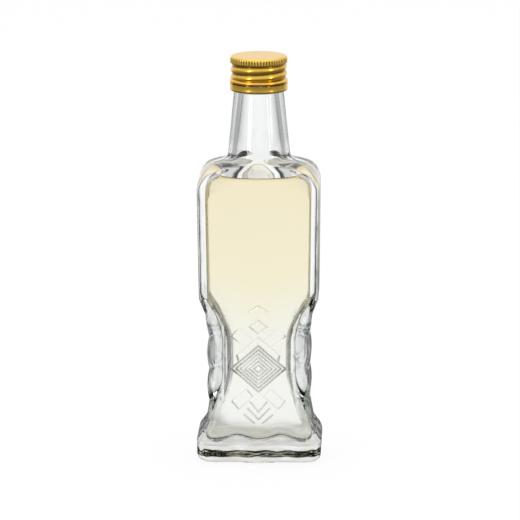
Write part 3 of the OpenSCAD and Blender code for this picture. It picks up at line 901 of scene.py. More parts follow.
    def _quarter(self, a: float, w: float, d: float, c: float, n: float, z: float, rise: float,
                 bulge: float, steps: tuple[int, int, int], ridge: float = 0.0) -> Array:
        """Points of one quarter from its panel, corner and side.

        Args:
            a: Half width of the flat panel.
            w: Half width of the section.
            d: Half depth of the section.
            c: How far the corner reaches back.
            n: Exponent of the corner's curve.
            z: Level of the side.
            rise: How much higher the panel's points lie.
            bulge: How far the corner swells out.
            steps: Steps across half the panel, the corner and half the side.
            ridge: Share of two flat facets with a ridge between them, 0 for a plain curve.

        Returns:
            Points from the middle of the front to the middle of the side.
        """
        panel_n, corner_n, side_n = steps
        px = np.linspace(0.0, a, panel_n, endpoint=False)
        t = np.linspace(0.0, 1.0, corner_n, endpoint=False)
        cx, cy = self.corner(a, w, d, c, n, t)
        cy = cy - bulge * np.sin(np.pi / 2 * t) * np.cos(np.pi / 2 * t)
        if ridge > 0:
            swing = bulge / self.lobe_out
            across, back = self.ridge_x + self.ridge_swing[0] * swing, self.ridge_y - self.ridge_swing[1] * swing
            fx = np.interp(t, [0.0, 0.5, 1.0], [a, a + (w - a) * across, w])
            fy = np.interp(t, [0.0, 0.5, 1.0], [-d, -(d - c) - c * back, -(d - c)])
            cx, cy = mix(cx, fx, ridge), mix(cy, fy, ridge)
        sy = np.linspace(-(d - c), 0.0, side_n + 1)
        panel = np.stack([px, np.full_like(px, -d), np.full_like(px, z + rise)], axis=1)
        bend = np.stack([cx, cy, z + rise * (1 - t)], axis=1)
        side = np.stack([np.full_like(sy, w), sy, np.full_like(sy, z)], axis=1)
        return np.vstack([panel, bend, side])

    def evened(self, quarter: Array, share: float) -> Array:
        """Moves the points of a quarter along it, towards even steps.

        Args:
            quarter: Points of the quarter.
            share: 0 leaves them, 1 spaces them evenly.

        Returns:
            The same number of points on the same line.
        """
        if share <= 0:
            return quarter
        steps = np.linalg.norm(np.diff(quarter, axis=0), axis=1)
        at = np.concatenate([[0.0], np.cumsum(steps)])
        even = np.linspace(0.0, at[-1], len(quarter))
        want = mix(at, even, share)
        return np.stack([np.interp(want, at, quarter[:, k]) for k in range(3)], axis=1)


class Relief:
    """The moulded lines of the front panel: nested diamonds, bars and chevrons."""

    RINGS = 6
    WIDTH = 8.4
    HEIGHT = 7.6
    UP = 11.8

    def __init__(self, form: FlaskForm, half_line: float = 0.4, depth: float = 0.45) -> None:
        """Lays out every line.

        Args:
            form: The body that carries the relief.
            half_line: Half the width of a line at the surface.
            depth: Depth of a line at its middle.
        """
        self.half_line = half_line
        self.depth = depth
        self.middle = form.flare_z + self.UP
        self.lines: list[tuple[Array, Array, float]] = []
        self._lay_out()

    def _path(self, points: list[tuple[float, float]], strength: float, closed: bool = False) -> None:
        """Adds the lines of a path, given in halves of the large diamond from its middle."""
        places = [np.array([x * self.WIDTH, self.middle + up * self.HEIGHT]) for x, up in points]
        for start, end in zip(places, places[1:] + places[:1] if closed else places[1:]):
            self.lines.append((start, end, strength))

    def _lay_out(self) -> None:
        """Places the pattern's paths, the large diamond cut deepest."""
        for ring in range(self.RINGS):
            share = 1 - ring / self.RINGS
            self._path([(0, share), (share, 0), (0, -share), (-share, 0)], 1.0 if ring < 2 else 0.8, True)
        self._path([(0, 2.1), (0.32, 1.8), (0, 1.5), (-0.32, 1.8)], 0.6, True)
        for side in (-1, 1):
            for end, strength in ((-1, 0.45), (1, 0.3)):
                bar = ((0.45, 0.88), (0.99, 1.40), (0.74, 1.73), (0.20, 1.21))
                self._path([(side * x, end * up) for x, up in bar], strength, True)
            self._path([(0, 1.35), (side * 0.8, 0.56), (side * 0.74, 0.32)], 0.55)
            self._path([(0, 2.7), (side * 0.36, 2.44)], 0.6)
            for k in range(3):
                down = 1.87 + 0.31 * k
                self._path([(0, -down), (side * (0.3 + 0.11 * k), 0.42 + 0.04 * k - down)], 0.8)

    def cut(self, x: Array, z: Array) -> Array:
        """Depth of the relief at places of the front panel.

        Args:
            x: Places across.
            z: Heights.

        Returns:
            Depth at each place, 0 outside the lines.
        """
        deepest = np.zeros(x.shape)
        for p, q, strength in self.lines:
            run = q - p
            length = float(run @ run)
            t = np.clip(((x - p[0]) * run[0] + (z - p[1]) * run[1]) / length, 0.0, 1.0)
            away = np.hypot(x - p[0] - t * run[0], z - p[1] - t * run[1])
            deepest = np.maximum(deepest, strength * smooth(1.0 - away / self.half_line))
        return self.depth * deepest


@dataclass
class GlassBottle:
    """The bottle's glass: body, neck, finish and cavity as one closed skin."""

    form: FlaskForm
    finish_r: float = 8.0
    thread_t: float = 0.5
    thread_pitch: float = 2.4
    thread_turns: float = 1.5
    thread_half_w: float = 0.6
    thread_fade: float = 0.125
    thread_up: float = 4.26
    collar_up: float = 0.58
    collar_h: float = 1.9
    collar_r: float = 8.6
    lip_up: float = 9.63
    lip_r: float = 0.5
    coarse: tuple[int, int, int] = (12, 18, 3)
    fine_panel: int = 66
    relief_low: float = 12.4
    relief_high: float = 52.8
    relief_step: float = 0.185
    meniscus_h: float = 0.7
    wave_in: float = 0.05
    wave_fade: float = 3.0
    wave_rest: float = 2.4
    waves: tuple[tuple[float, float, float, float], ...] = (
        (1.0, 0.8, 1.1, 0.0), (0.8, 1.9, -1.6, 1.3), (0.6, 3.4, 0.9, 0.7))
    floor_shares: tuple[float, ...] = (0.8, 0.55, 0.3)
    bearing_r: float = 10.3
    bearing_points: int = 224
    bearing_rows: int = 15
    stipple_count: int = 56
    stipple_h: float = 0.22
    recess_edge: float = 0.5

    def ring(self, quarter_front: Array, quarter_back: Array) -> Array:
        """A whole ring from two quarter sections, from the middle of the front round past +X."""
        right_front = quarter_front[:-1]
        right_back = (quarter_back * np.array([1, -1, 1]))[::-1][:-1]
        left_back = (quarter_back * np.array([-1, -1, 1]))[:-1]
        left_front = (quarter_front * np.array([-1, 1, 1]))[::-1][:-1]
        return np.vstack([right_front, right_back, left_back, left_front])

    def outer_ring(self, z: float, fine: bool) -> Array:
        """One ring of the outside.

        Args:
            z: Level in millimetres.
            fine: True where the front panel is dense enough to carry the relief.

        Returns:
            Points of the ring.
        """
        f = self.form
        even = float(smooth(span(z, f.shoulder_z + f.square_up, f.blend_top_z)))
        back = f.evened(f.outer_quarter(z, self.coarse), even)
        steps = (self.fine_panel, self.coarse[1], self.coarse[2]) if fine else self.coarse
        front = f.evened(f.outer_quarter(z, steps), even)
        return self.ring(front, back)

    def outer_thick_glass_shade(self, z: float, fine: bool) -> Array:
        """Share of painted shade at each point of one outer ring, laid where the glass is thick."""
        front = self.form.thickness(z, (self.fine_panel, self.coarse[1], self.coarse[2]) if fine else self.coarse)
        back = self.form.thickness(z, self.coarse)
        return self.ring(*(np.repeat(q[:, None], 3, axis=1) for q in (front, back)))[:, 2]

    def crest(self, angles: Array, z: Array) -> Array:
        """How far the thread stands out at angles and heights."""
        out = np.zeros(np.broadcast(angles, z).shape)
        for turn in range(int(self.thread_turns) + 2):
            progress = ((angles + 180.0) % TURN) / TURN + turn
            away = z - (self.form.cap_z + self.thread_up + self.thread_pitch * progress)
            shape = np.where(np.abs(away) < self.thread_half_w,
                             np.cos(np.pi / 2 * away / self.thread_half_w) ** 2, 0.0)
            ends = smooth(np.minimum(progress, self.thread_turns - progress) / self.thread_fade)
            out = np.maximum(out, self.thread_t * shape * ends)
        return out

    def finish_radius(self, z: float) -> float:
        """Radius of the finish without its thread."""
        f = self.form
        collar = f.cap_z + self.collar_up
        edge = (self.collar_r - self.finish_r) / 2
        rise = smooth(span(z, collar, collar + edge))
        fall = smooth(span(z, collar + self.collar_h - edge, collar + self.collar_h))
        return float(self.finish_r + (self.collar_r - self.finish_r) * (rise - fall))

    def levels(self) -> list[tuple[float, bool]]:
        """Levels of the outside with whether the panel is dense there."""
        f = self.form
        heel = [f.heel_r * (1 - math.cos(math.pi / 2 * i / 10)) for i in range(11)]
        plain = heel + np.linspace(f.heel_r, f.plinth_h, 4)[1:].tolist()
        plain += np.linspace(f.plinth_h, self.relief_low, 9)[1:].tolist()
        steps = round((self.relief_high - self.relief_low) / self.relief_step)
        dense = np.linspace(self.relief_low, self.relief_high, steps + 1).tolist()
        for mark in (f.flare_z, f.flare_z + f.groove_pitch, f.top_groove_z, f.bevel_z, f.chest_z):
            dense[int(np.argmin(np.abs(np.array(dense) - mark)))] = mark
        upper = np.linspace(self.relief_high, f.chest_z + f.panel_widen_h, 7)[1:].tolist()
        upper += np.linspace(upper[-1], f.shoulder_z, 5)[1:].tolist()
        upper += np.linspace(f.shoulder_z, f.shoulder_top_z, 19)[1:].tolist()
        upper += np.linspace(f.shoulder_top_z, f.blend_z, 5)[1:].tolist()
        upper += np.linspace(f.blend_z, f.blend_top_z, 11)[1:].tolist()
        return [(z, False) for z in plain] + [(z, True) for z in dense] + [(z, False) for z in upper]

    def waved(self, points: Array) -> Array:
        """Draws the foot's outside in by a slight wave, as pressed glass has."""
        x, y, z = points.T
        fade = 1 - smooth(span(z, self.form.plinth_h, self.form.plinth_h + self.wave_fade))
        side = np.sign(y)
        wave = sum(size * np.sin(across * x + up * z + aside * side) for size, across, up, aside in self.waves)
        points[:, :2] *= (1 - self.wave_in * fade * (self.wave_rest + wave) / np.hypot(x, y))[:, None]
        return points

    def cavity_ring(self, z: float, gap: float = 0.0) -> Array:
        """One ring of the cavity's wall at a level, drawn in by a gap."""
        f = self.form
        even = float(smooth(span(z, f.shoulder_z - f.arch_below, f.shoulder_z + f.arch_above)))
        quarter = f.evened(f.cavity_quarter(z, gap, self.coarse), even)
        return f.settle(self.ring(quarter, quarter))

    def floor_ring(self, share: float, gap: float = 0.0) -> Array:
        """One ring of the cavity's floor at a share of its outline, raised by a gap."""
        f = self.form
        quarter = f.cavity_quarter(f.floor_t + 1e-4, gap, self.coarse) * np.array([share, share, 1.0])
        quarter[:, 2] = f.floor_t + gap
        return f.settle(self.ring(quarter, quarter))

    def add_outside(self, stack: MeshStack) -> None:
        """Adds the outside from the heel to the neck's foot."""
        relief = Relief(self.form)
        first = last = None
        last_points = None
        last_fine = False
        for z, fine in self.levels():
            points = self.waved(self.outer_ring(z, fine))
            mark = np.zeros(len(points))
            if fine:
                front = points[:, 1] < -self.form.body_d / 2 + 0.001
                cut = relief.cut(points[front, 0], points[front, 2])
                points[front, 1] += cut
                # The mark is the cut's share of the depth, which the glass paints as shade.
                mark[front] = cut / relief.depth
            ring = stack.ring(points, mark, self.outer_thick_glass_shade(z, fine))
            if last is not None:
                if fine == last_fine:
                    stack.wall(last, ring)
                else:
                    stack.zipper(last, ring, ring_places(last_points), ring_places(points))
            first = ring if first is None else first
            last, last_points, last_fine = ring, points, fine
        self.first_ring, self.neck_ring = first, last
        self.neck_angles = np.degrees(np.arctan2(last_points[:, 1], last_points[:, 0]))

    def add_finish(self, stack: MeshStack) -> Array:
        """Adds neck, collar, thread and lip outside and returns the ring on the lip's inner edge."""
        f = self.form
        angles = self.neck_angles
        lip = f.cap_z + self.lip_up
        rows: list[tuple[Any, float]] = []
        for z in np.linspace(f.blend_top_z, f.cap_z, 13)[1:]:
            rows.append((mix(f.neck_foot_d / 2, f.neck_top_d / 2, span(z, f.blend_top_z, f.cap_z)), z))
        for z in np.linspace(f.cap_z, lip - self.lip_r, 58)[1:]:
            rows.append((self.finish_radius(z) + self.crest(angles, np.full(angles.shape, z)), z))
        for a in np.linspace(0.0, math.pi / 2, 7)[1:]:
            rows.append((self.finish_r - self.lip_r * (1 - math.cos(a)), lip - self.lip_r * (1 - math.sin(a))))
        for a in np.linspace(math.pi / 2, math.pi, 7):
            rows.append((f.bore_d / 2 + self.lip_r * (1 + math.cos(a)), lip - self.lip_r * (1 - math.sin(a))))
        last = self.neck_ring
        for radius, z in rows:
            last = stack.grow(last, circle(radius, z, angles))
        return last

    def cavity_levels(self) -> list[float]:
        """Levels of the cavity from its floor to the neck's foot."""
        f = self.form
        floor = [f.floor_t + f.floor_r * (1 - math.cos(math.pi / 2 * i / 14)) for i in range(1, 15)]
        low = np.linspace(f.floor_t + f.floor_r, f.chest_z, 56)[1:].tolist()
        high = np.linspace(f.chest_z, f.shoulder_z - f.arch_below, 6)[1:].tolist()
        high += np.linspace(high[-1], f.shoulder_z, 7)[1:].tolist()
        wet = np.linspace(f.shoulder_z, f.fill_z + self.meniscus_h, 12)[1:].tolist()
        dry = np.linspace(wet[-1], f.cavity_top_z, 24)[1:].tolist()
        return floor + low + high + wet + dry

    def add_cavity(self, stack: MeshStack, bore: Array) -> None:
        """Adds the inside from the bore's mouth down to the cavity's floor.

        Args:
            stack: The mesh to add to.
            bore: The ring at the top of the bore.
        """
        f = self.form
        last = bore
        for z in np.linspace(f.cap_z + self.lip_up - self.lip_r, f.cap_z, 5)[1:]:
            last = stack.grow(last, circle(f.bore_d / 2, z, self.neck_angles))
        for z in np.linspace(f.cap_z, f.cavity_top_z, 15)[1:-1]:
            down = span(z, f.cap_z, f.cavity_top_z)
            radius = mix(f.bore_d / 2, f.cavity_top_r, smooth(down) * 0.25 + down * 0.75)
            last = stack.grow(last, circle(radius, z, self.neck_angles))
        wet_z = f.fill_z + self.meniscus_h
        for z in reversed(self.cavity_levels()):
            last = stack.grow(last, self.cavity_ring(z), slot=1 if z < wet_z - 0.01 else 0)
        for share in self.floor_shares:
            last = stack.grow(last, self.floor_ring(share), slot=1)
        stack.fan(last, np.array([0.0, 0.0, f.floor_t]), True, 1)

    def add_base(self, stack: MeshStack) -> None:
        """Adds the underside: a flat rim, a stippled bearing ring and a shallow recess."""
        f = self.form
        outline = np.array([stack.point_of(int(i)) for i in self.first_ring])
        angles = np.degrees(np.arctan2(outline[:, 1], outline[:, 0]))
        last = self.first_ring
        edge = circle(self.bearing_r, 0.0, angles)
        for share in (0.25, 0.5, 0.75, 1.0):
            last = stack.grow(last, outline + (edge - outline) * share, under=True)
        count, roll, recess = self.bearing_points, self.recess_edge, f.recess_d / 2
        even = np.linspace(-90.0, 270.0, count, endpoint=False)
        radii = np.linspace(10.2, recess + 0.1, self.bearing_rows)
        ring = stack.ring(circle(radii[0], 0.0, even))
        stack.zipper(ring, last, np.arange(count) / count, ((angles + 90.0) % TURN) / TURN)
        rows: list[tuple[float, Any]] = []
        for radius in radii[1:]:
            hump = math.sin(math.pi * span(radius, radii[0], radii[-1]))
            bead = np.abs(np.sin(np.radians(even * self.stipple_count / 2))) * hump
            rows.append((radius, self.stipple_h * (1 - bead) * hump))
        for a in np.linspace(0.0, math.pi / 2, 6)[1:]:
            rows.append((recess - roll * math.sin(a) + 0.1, roll * (1 - math.cos(a))))
        for share in np.linspace(1.0, 0.1, 9)[1:]:
            rows.append(((recess + 0.1 - roll) * share, roll + (f.pushup_h - roll) * (1 - share * share)))
        last = ring
        for radius, z in rows:
            last = stack.grow(last, circle(radius, z, even), under=True)
        stack.fan(last, np.array([0.0, 0.0, f.pushup_h]), False)

    def build(self) -> bpy.types.Object:
        """Builds and dresses the bottle's glass."""
        stack = MeshStack()
        self.add_outside(stack)
        mouth = self.add_finish(stack)
        self.add_cavity(stack, mouth)
        self.add_base(stack)
        glass = stack.build("flask_glass", [ClearGlass(WallSide.DRY).make(), ClearGlass(WallSide.WET).make()], 25.0)
        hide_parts("glass_bottle")
        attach(glass, "bottle")
        return glass


@dataclass
class Spirit:
    """The liquid in the bottle, with the rim that it draws up at the glass."""

    form: FlaskForm
    gap: float = 0.04
    reach: float = 0.9
    rim_reach: float = 0.25
    inward: tuple[float, ...] = (0.12, 0.3, 0.55, 0.9, 1.4, 2.2, 3.4, 5.0)

    def build(self) -> bpy.types.Object:
        """Builds and dresses the liquid."""
        f = self.form
        bottle = GlassBottle(f)
        stack = MeshStack()
        rim_z = f.fill_z + bottle.meniscus_h - 0.02
        floor = f.floor_t + self.gap
        shares = bottle.floor_shares[::-1]
        last = stack.ring(bottle.floor_ring(shares[0], self.gap))
        stack.fan(last, np.array([0.0, 0.0, floor]), False)
        for share in shares[1:]:
            last = stack.grow(last, bottle.floor_ring(share, self.gap))
        for z in [z for z in bottle.cavity_levels() if floor + 0.02 <= z < rim_z] + [rim_z]:
            points = bottle.cavity_ring(z, self.gap)
            last = stack.grow(last, points)
        size = np.hypot(points[:, 0], points[:, 1])
        for inward in self.inward:
            top = points * (1 - inward / size)[:, None]
            top[:, 2] = f.fill_z + bottle.meniscus_h * np.exp(-inward / self.reach)
            last = stack.grow(last, top, float(np.exp(-inward / self.rim_reach)), slot=1)
        stack.fan(last, np.array([0.0, 0.0, f.fill_z]), True, 1)
        spirit = stack.build("flask_spirit", [PaleSpirit(LiquidFace.SIDE).make(), PaleSpirit(LiquidFace.TOP).make()],
                             30.0)
        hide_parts("liquid")
        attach(spirit, "bottle")
        return spirit


# ---------------------------------------------------------------- the closure


@dataclass
class Closure:
    """Cap, sealing disc and tamper band, in millimetres above the cap's lower edge."""

    cap_z: float
    columns: int = 480
    finish_r: float = 8.0
    thread_gap: float = 0.15
    thread_t: float = 0.5
    thread_pitch: float = 2.4
    thread_turns: float = 1.5
    thread_half_w: float = 0.6
    roll_half_w: float = 1.1
    sheet_t: float = 0.28
    knurl_d: float = 18.2
    knurl_h: float = 2.5
    knurl_t: float = 0.28
    knurl_count: int = 60
    rim_r: float = 0.5
    bead_d: float = 18.5
    bead_h: float = 0.9
    band_d: float = 18.4
    band_h: float = 2.4
    slot_h: float = 0.36
    lip_in: float = 0.12
    lip_down: float = 0.26
    bridge_count: int = 8
    bridge_w: float = 0.7
    curl_d: float = 16.7
    band_roll: float = 0.75
    liner_t: float = 1.2
    liner_edge: float = 0.12
    print_depth: float = 0.03
    top_dish: float = 0.03
    # slot_shade to knurl_shade are shares of painted shade in the cap's mark; crest_light is a painted highlight.
    slot_shade: float = 0.8
    bead_shade: float = 0.5
    valley_shade: float = 0.85
    knee_shade: tuple[float, float] = (0.8, 0.5)
    knurl_foot: float = 0.35
    knurl_shade: float = 0.9
    crest_light: float = 0.5
    gold: GoldAluminium = field(default_factory=lambda: GoldAluminium("gold_cap"))
    band_gold: GoldAluminium = field(default_factory=lambda: GoldAluminium("gold_band", gloss=0.24))

    def __post_init__(self) -> None:
        """Works out the heights of the closure."""
        self.angles = np.linspace(-90.0, 270.0, self.columns, endpoint=False)
        self.slot_z = self.cap_z + self.band_h
        self.skirt_z = self.slot_z + self.slot_h
        self.bead_z = self.skirt_z + self.bead_h
        self.thread_z = self.bead_z + self.thread_half_w
        self.knurl_z = (self.thread_z + self.thread_pitch * self.thread_turns + self.thread_half_w
                        + self.thread_gap)
        self.top_z = self.knurl_z + self.knurl_h
        self.valley_r = self.finish_r + self.thread_gap + self.sheet_t
        self.cup_r = self.knurl_d / 2 - self.knurl_t
        self.liner_z = self.top_z - self.sheet_t - self.liner_t

    def bridges(self) -> Array:
        """1 at the columns that carry a bridge, 0 elsewhere."""
        pitch = TURN / self.bridge_count
        away = (self.angles + 90.0) % pitch - pitch / 2
        half = math.degrees(self.bridge_w / self.band_d)
        return (np.abs(away) <= half + TURN / self.columns / 2).astype(float)

    def skirt_radius(self, z: float) -> Array:
        """Outer radius of the rolled skirt at a height, for every column."""
        turn = ((self.angles + 180.0) % TURN) / TURN
        away = z - self.thread_z - self.thread_pitch * turn
        near = away - self.thread_pitch * np.round(away / self.thread_pitch)
        crest = np.where(np.abs(near) < self.roll_half_w,
                         self.thread_t * np.cos(np.pi / 2 * near / self.roll_half_w), 0.0)
        head = 1 - smooth(span(z, self.knurl_z - self.roll_half_w / 2, self.knurl_z - 0.05))
        foot = smooth((self.bead_z + self.thread_half_w / 2 - z) / self.thread_half_w * 2)
        return self.valley_r + np.maximum(crest * head, self.thread_t * foot)

    def cap_profile(self) -> list[tuple[Any, Any, Any, Any]]:
        """Rows of the cap's outside from the skirt's edge up: radius, height, inner radius and painted shade."""
        bead_r, roll = self.bead_d / 2, self.bead_h / 2
        edge_r = bead_r - roll / 2
        bridged = self.bridges()
        edge_z = self.skirt_z - self.slot_h / 2 * bridged
        rows: list[tuple[Any, Any, Any, Any]] = [
            (edge_r, edge_z, edge_r - self.sheet_t, self.slot_shade * (1 - bridged))]
        for a in range(-60, 61, 15):
            s, c = math.sin(math.radians(a)), math.cos(math.radians(a))
            rows.append((bead_r - roll + roll * c, self.skirt_z + roll + roll * s,
                         bead_r - roll + (roll - self.sheet_t) * c, self.bead_shade * smooth((-a - 20) / 40)))
        for z in np.linspace(self.bead_z + 0.02, self.knurl_z, 60):
            r = self.skirt_radius(z)
            depth = 1 - (r - self.valley_r) / self.thread_t
            rows.append((r, z, r - self.sheet_t, self.valley_shade * depth ** 2.5))
        for share in (0.35, 0.7, 1.0):
            r = mix(self.valley_r, self.cup_r, smooth(share))
            rows.append((r, self.knurl_z + share * self.rim_r / 2, r - self.sheet_t,
                         self.knee_shade[0] - self.knee_shade[1] * share))
        teeth = 0.5 - 0.5 * np.cos(np.radians((self.angles + 90.0) * self.knurl_count))
        knee, rim = self.knurl_z + self.rim_r / 2, self.top_z - self.rim_r
        for z in np.linspace(knee, rim, 11)[1:]:
            ends = float(smooth(min(z - knee, rim + 0.15 - z) / 0.25))
            out = self.knurl_foot + (1 - self.knurl_foot) * teeth ** 0.7 * ends
            rows.append((self.cup_r + self.knurl_t * out, z, self.cup_r - self.sheet_t,
                         self.knurl_shade * ends * (1 - teeth) ** 2 - self.crest_light * ends * teeth))
        for a in (20, 40, 60, 75, 90):
            s, c = math.sin(math.radians(a)), math.cos(math.radians(a))
            r = self.cup_r + self.knurl_t * self.knurl_foot * c - self.rim_r * (1 - c)
            rows.append((r, self.top_z - self.rim_r * (1 - s), r - self.sheet_t, 0.0))
        return rows

    def build_cap(self) -> bpy.types.Object:
        """Builds and dresses the cap's shell."""
        stack = MeshStack()
        rows = self.cap_profile()
        outer = [stack.ring(circle(r, z, self.angles), shade) for r, z, _, shade in rows]
        for low, high in zip(outer, outer[1:]):
            stack.wall(low, high)
        last = outer[-1]
        for r in (7.2, 5.2, 3.0, 1.0):
            last = stack.grow(last, circle(r, self.top_z - self.top_dish * (1 - r / 8.5), self.angles))
        stack.fan(last, np.array([0.0, 0.0, self.top_z - self.top_dish]), True)
        inside = [row for row in rows if float(np.max(row[1])) < self.top_z - self.rim_r][::2]
        inside[0] = rows[0]
        roof = self.top_z - self.sheet_t
        inner = [stack.ring(circle(r, np.minimum(z, roof), self.angles)) for _, z, r, _ in inside]
        # The skirt's inner lip carries painted shade, 0.9 in the mark.
        lips = [stack.ring(circle(rows[0][2] - self.lip_in * share, rows[0][1] - self.lip_down * share, self.angles),
                           0.9) for share in (1.0, 0.5)]
        for low, high in zip([inner[0]] + lips, lips + [outer[0]]):
            stack.wall(low, high)
        for low, high in zip(inner, inner[1:]):
            stack.wall(high, low)
        last = inner[-1]
        for r in (self.cup_r - self.rim_r - self.sheet_t / 2, 4.0, 1.0):
            last = stack.grow(last, circle(r, roof, self.angles), under=True)
        stack.fan(last, np.array([0.0, 0.0, roof]), False)
        cap = stack.build("screw_cap", [self.gold.make()], 50.0)
        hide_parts("cap_shell")
        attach(cap, "cap")
        return cap

    def build_band(self) -> bpy.types.Object:
        """Builds and dresses the tamper band, its lower edge rolled in under the collar."""
        stack = MeshStack()
        outer_r, roll, sheet = self.band_d / 2, self.band_roll, self.sheet_t
        top = self.slot_z + self.slot_h / 2 * self.bridges()
        rolled = [(outer_r - roll * (1 - math.cos(a)), self.cap_z + roll * (1 - math.sin(a)))
                  for a in map(math.radians, (0, 20, 40, 60, 80, 90))]
        rows: list[tuple[Any, Any]] = [
            (outer_r, top),
            (outer_r, self.slot_z - 0.25),
            (outer_r - 0.05, self.slot_z - 0.6),
            (outer_r - 0.03, self.cap_z + 0.9),
            *rolled,
            (self.curl_d / 2, self.cap_z + 0.02),
            (self.curl_d / 2, self.cap_z + sheet),
            (outer_r - roll, self.cap_z + sheet + 0.02),
            (outer_r - sheet - 0.03, self.cap_z + roll + 0.1),
            (outer_r - sheet - 0.03, self.slot_z - 0.5),
            (outer_r - sheet - 0.22, self.slot_z - 0.12),
            (outer_r - sheet - 0.22, self.slot_z + 0.04),
            (outer_r - sheet, top),
        ]
        rings = [stack.ring(circle(r, z, self.angles)) for r, z in rows]
        for low, high in zip(rings, rings[1:]):
            stack.wall(high, low)
        stack.wall(rings[0], rings[-1])
        band = stack.build("tamper_ring", [self.band_gold.make()], 50.0)
        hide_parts("tamper_band")
        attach(band, "band")
        return band

    def build_liner(self) -> bpy.types.Object:
        """Builds and dresses the sealing disc, with the print of the bottle's lip in its underside."""
        stack = MeshStack()
        angles = np.linspace(-90.0, 270.0, 96, endpoint=False)
        outer = self.cup_r - self.rim_r - self.sheet_t / 2 - 0.05
        low, high, edge, sunk = self.liner_z, self.liner_z + self.liner_t, self.liner_edge, self.print_depth
        rows = [(1.0, low), (4.8, low), (5.0, low + sunk), (7.9, low + sunk), (8.1, low), (outer - edge, low),
                (outer - edge * 0.3, low + edge * 0.3), (outer, low + edge), (outer, high - edge),
                (outer - edge * 0.3, high - edge * 0.3), (outer - edge, high), (4.0, high), (1.0, high)]
        rings = [stack.ring(circle(r, z, angles)) for r, z in rows]
        stack.fan(rings[0], np.array([0.0, 0.0, low]), False)
        for first, second in zip(rings, rings[1:]):
            stack.wall(first, second)
        stack.fan(rings[-1], np.array([0.0, 0.0, high]), True)
        liner = stack.build("sealing_disc", [FoamDisc().make()], 40.0)
        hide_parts("cap_liner")
        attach(liner, "liner")
        return liner


# ---------------------------------------------------------------- the studio


